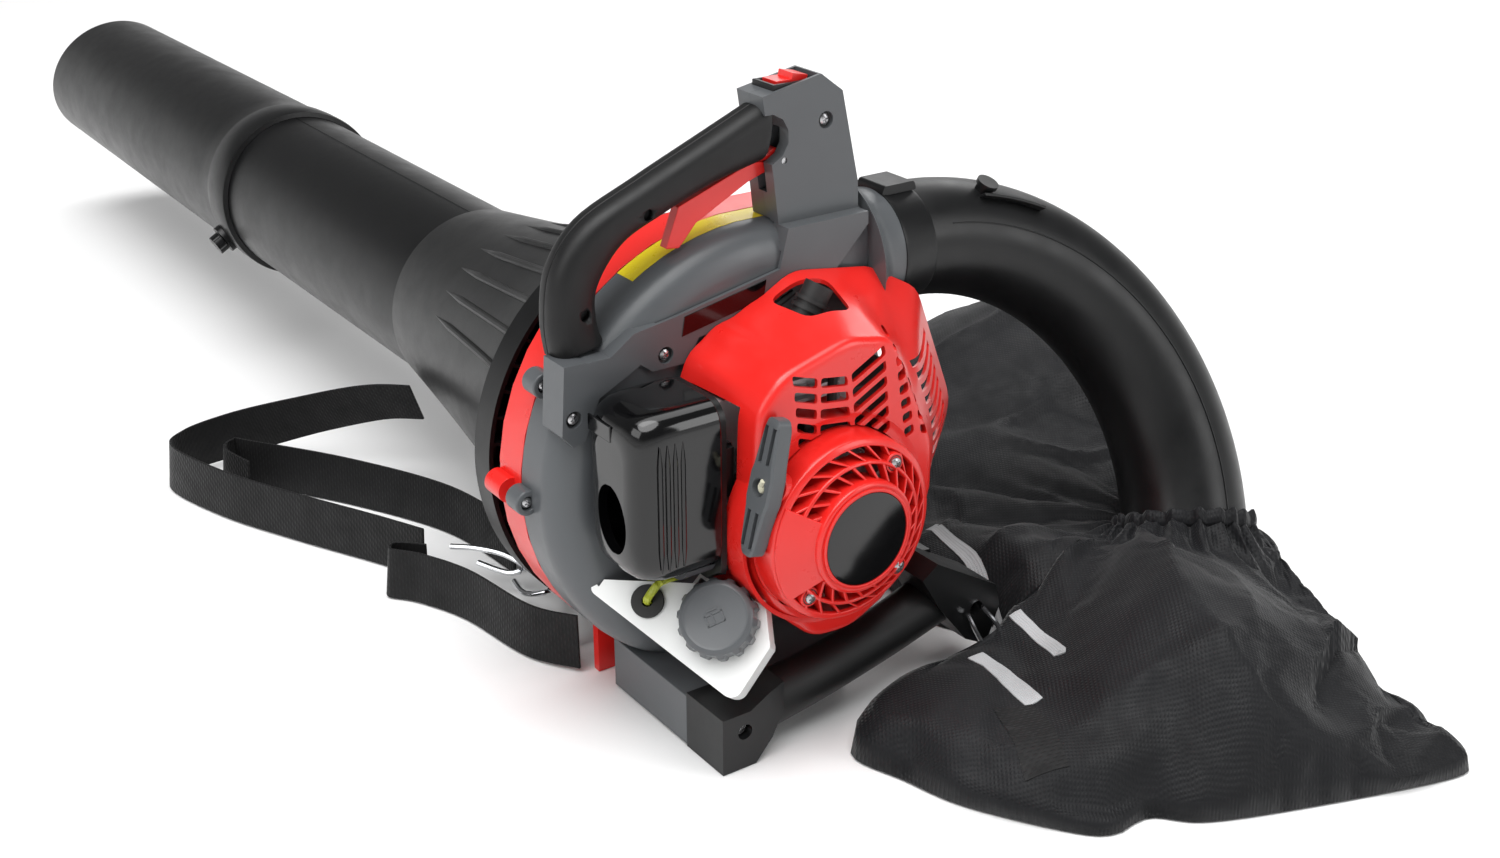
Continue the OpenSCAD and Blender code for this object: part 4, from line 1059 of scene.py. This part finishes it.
def bag_point(k, s):
    a = 2 * math.pi * k / BAG_SIDES
    t = math.pi / 2 - a
    pleat = math.cos(21 * a + 1.3 * math.sin(3 * a)) + 0.4 * math.cos(34 * a)
    start = mouth_middle + (46.5 + 0.8 * pleat) * (math.cos(t) * mouth_out + math.sin(t) * bend_side)
    reach = bag_reach[k]
    edge = Vector((BAG_MIDDLE.x + reach * math.cos(a), BAG_MIDDLE.y + reach * math.sin(a)))
    g = s ** 1.3
    x, y = start.x * (1 - g) + edge.x * g, start.y * (1 - g) + edge.y * g
    body = bag_height(x, y)
    fall = min(1, s / 0.3)
    z = start.z * (1 - fall) ** 1.4 + body * (1 - (1 - fall) ** 1.4)
    z += folds(x, y) * min(1, s * 3) * min(1, (1 - s) * 4)
    z += 3.4 * pleat * math.exp(-((s - 0.1) / 0.1) ** 2)
    z *= max(0, 1 - s ** 9) ** 0.5
    return Vector((x, y, max(1.0, z)))


bag_reach = reach_of([p.to_2d() for p in curve([(x, y, 0) for x, y in bag_edge], 5, closed=True)],
                     BAG_MIDDLE, BAG_SIDES)
bag_rings = [[bag_point(k, i / BAG_RINGS) for k in range(BAG_SIDES)] for i in range(BAG_RINGS + 1)]
under = []
for i in range(1, BAG_UNDER + 1):
    s = 1 - i / (BAG_UNDER + 1)
    under.append([Vector((BAG_MIDDLE.x + (p.x - BAG_MIDDLE.x) * s,
                          BAG_MIDDLE.y + (p.y - BAG_MIDDLE.y) * s, 0.8)) for p in bag_rings[-1]])
bag_skin = loft(bag_rings + under)
bag = piece("bag_cloth", bag_skin, CLOTH, stands_for=("collection_bag",),
            angle=180)


STRIPES = {"bag_stripe_upper": ([(22, 177), (106, 154), (197, 127), (206, 124)], 4),
           "bag_stripe_lower": ([(166, 92), (192, 91), (226, 86)], 6)}


def stripe_gap(x, y):
    """Distance from a place to the nearest stripe printed on the bag."""
    near, p = 1e9, Vector((x, y))
    for line, half in STRIPES.values():
        for a, b in zip(line, line[1:]):
            a, run = Vector(a), Vector(b) - Vector(a)
            t = min(1, max(0, (p - a).dot(run) / run.dot(run)))
            near = min(near, (p - a - run * t).length)
    return near


def settle(obj, frames, most):
    """Lets a little spare cloth wrinkle by simulation, and keeps every point within a distance of its start."""
    start = [v.co.copy() for v in obj.data.vertices]
    held = [i for i, p in enumerate(start) if p.z < 3 * MM or (p / MM - mouth_middle).length < 49]
    obj.vertex_groups.new(name="held").add(held, 1.0, "REPLACE")
    cloth = obj.modifiers.new("cloth", "CLOTH")
    how = cloth.settings
    how.vertex_group_mass = "held"
    how.quality, how.mass, how.air_damping = 6, 0.15, 2
    how.tension_stiffness, how.compression_stiffness, how.shear_stiffness, how.bending_stiffness = 12, 12, 4, 0.12
    how.shrink_min, how.use_pressure, how.uniform_pressure_force = -0.05, True, 1.2
    how.effector_weights.gravity = 0
    cloth.collision_settings.use_collision = False
    cloth.point_cache.frame_start, cloth.point_cache.frame_end = 1, frames
    for step in range(1, frames + 1):
        scene.frame_set(step)
    settled = obj.evaluated_get(bpy.context.evaluated_depsgraph_get())
    ends = [v.co.copy() for v in settled.data.vertices]
    obj.modifiers.remove(cloth)
    obj.vertex_groups.clear()
    scene.frame_set(1)
    for v, a, b in zip(obj.data.vertices, start, ends):
        move, reach = b - a, min(most, 1 + 0.25 * stripe_gap(a.x / MM, a.y / MM)) * MM
        v.co = a + move.normalized() * min(move.length, reach) if move.length > 0 else a
        v.co.z = max(v.co.z, 0.8 * MM)


settle(bag, 16, 11)
hem_rings = []
for k in range(BAG_SIDES):
    p = bag_rings[0][k]
    out = (p - mouth_middle).normalized()
    down = bend_side.cross(mouth_out)
    hem_rings.append([p + out * (1.8 * math.cos(t) + 0.6) + down * 5.5 * math.sin(t)
                      for t in (2 * math.pi * j / 10 for j in range(10))])
piece("bag_mouth_hem", loft(hem_rings, wrap=True), CLOTH, angle=180)

bag_top = BVHTree.FromPolygons([v.co / MM for v in bag.data.vertices],
                               [p.vertices[:] for p in bag.data.polygons])


def draped(name, line, half, finish):
    """A flat strip that lies on the bag's upper side."""
    path, rings = curve([(x, y, 0) for x, y in line], 12), []
    columns = [half * (j / 3 - 1) for j in range(7)]
    for i, p in enumerate(path):
        ahead = (path[min(i + 1, len(path) - 1)] - path[max(i - 1, 0)]).normalized()
        side = Vector((-ahead.y, ahead.x, 0))
        tops = [bag_top.ray_cast(p + side * u + UP * 300,
                                 -UP)[0] or bag_top.find_nearest(p + side * u)[0] for u in columns]
        rings.append([q + UP * 0.7 for q in tops] + [q - UP * 0.4 for q in reversed(tops)])
    strip = piece(name, loft(rings), finish, angle=50)
    lay_threads(strip, 14, columns + columns[::-1])
    return strip


for name, (line, half) in STRIPES.items():
    draped(name, line, half, SILVER)
tab = draped("bag_tab", [(222, 72), (240, 66), (258, 58), (276, 50)], 13, WEBBING)


# ---------------------------------------------------------------- camera, floor and light

def aim(obj, target):
    obj.rotation_mode = "QUATERNION"
    obj.rotation_quaternion = (Vector(target) - obj.location).to_track_quat("-Z", "Y")


camera = bpy.data.objects.new("camera", bpy.data.cameras.new("camera"))
scene.collection.objects.link(camera)
scene.camera = camera
camera.data.lens, camera.data.sensor_width = 44.4, 36
camera.data.clip_end = 200
camera.location = (0.900, -0.596, 0.640)
aim(camera, camera.location + Vector((-0.7457, 0.5241, -0.4115)))

floor_mesh = bpy.data.meshes.new("floor")
floor_mesh.from_pydata([(-60, -60, 0), (60, -60, 0), (60, 60, 0), (-60, 60, 0)], [], [(0, 1, 2, 3)])
floor = bpy.data.objects.new("floor", floor_mesh)
floor.location.z = cad_box[0].z - 0.0005
scene.collection.objects.link(floor)
floor_mesh.materials.append(Finish("pale floor", (0.86, 0.86, 0.86), 0.6).vary(3, 0.99,
    1.01).material)

scene.world = bpy.data.worlds.new("studio")
scene.world.use_nodes = True
sky = scene.world.node_tree
height = sky.nodes.new("ShaderNodeSeparateXYZ")
fade = sky.nodes.new("ShaderNodeMapRange")
for i, v in enumerate((0.02, 0.3, 0.93, 0.16)):
    fade.inputs[i + 1].default_value = v
sky.links.new(sky.nodes.new("ShaderNodeTexCoord").outputs["Generated"], height.inputs[0])
sky.links.new(height.outputs["Z"], fade.inputs[0])
sky.nodes["Background"].inputs["Color"].default_value = (1, 1, 1, 1)
sky.links.new(fade.outputs[0], sky.nodes["Background"].inputs["Strength"])
scene.view_settings.view_transform = "Standard"


def softbox(name, place, target, size, power):
    light = bpy.data.lights.new(name, "AREA")
    light.shape, light.size, light.size_y, light.energy = "RECTANGLE", size[0], size[1], power
    obj = bpy.data.objects.new(name, light)
    scene.collection.objects.link(obj)
    obj.location = place
    aim(obj, target)
    return obj


softbox("overhead", (-0.2, 0.1, 2.4), (-0.1, 0.1, 0), (2.6, 1.2), 22)
softbox("front_left", (0.2, -2.2, 1.5), (0, 0, 0.15), (1.6, 1.2), 15)
softbox("right_side", (2.0, 1.4, 1.3), (0.1, 0.1, 0.15), (1.0, 1.4), 16)
softbox("behind", (-1.8, 2.2, 1.6), (-0.2, 0.1, 0.1), (2.0, 1.0), 16)

sun = bpy.data.objects.new("soft_sun", bpy.data.lights.new("soft_sun", "SUN"))
sun.data.energy, sun.data.angle = 2.7, 0.9
scene.collection.objects.link(sun)
sun.location = (0.6, -0.8, 3)
aim(sun, (0, 0, 0))
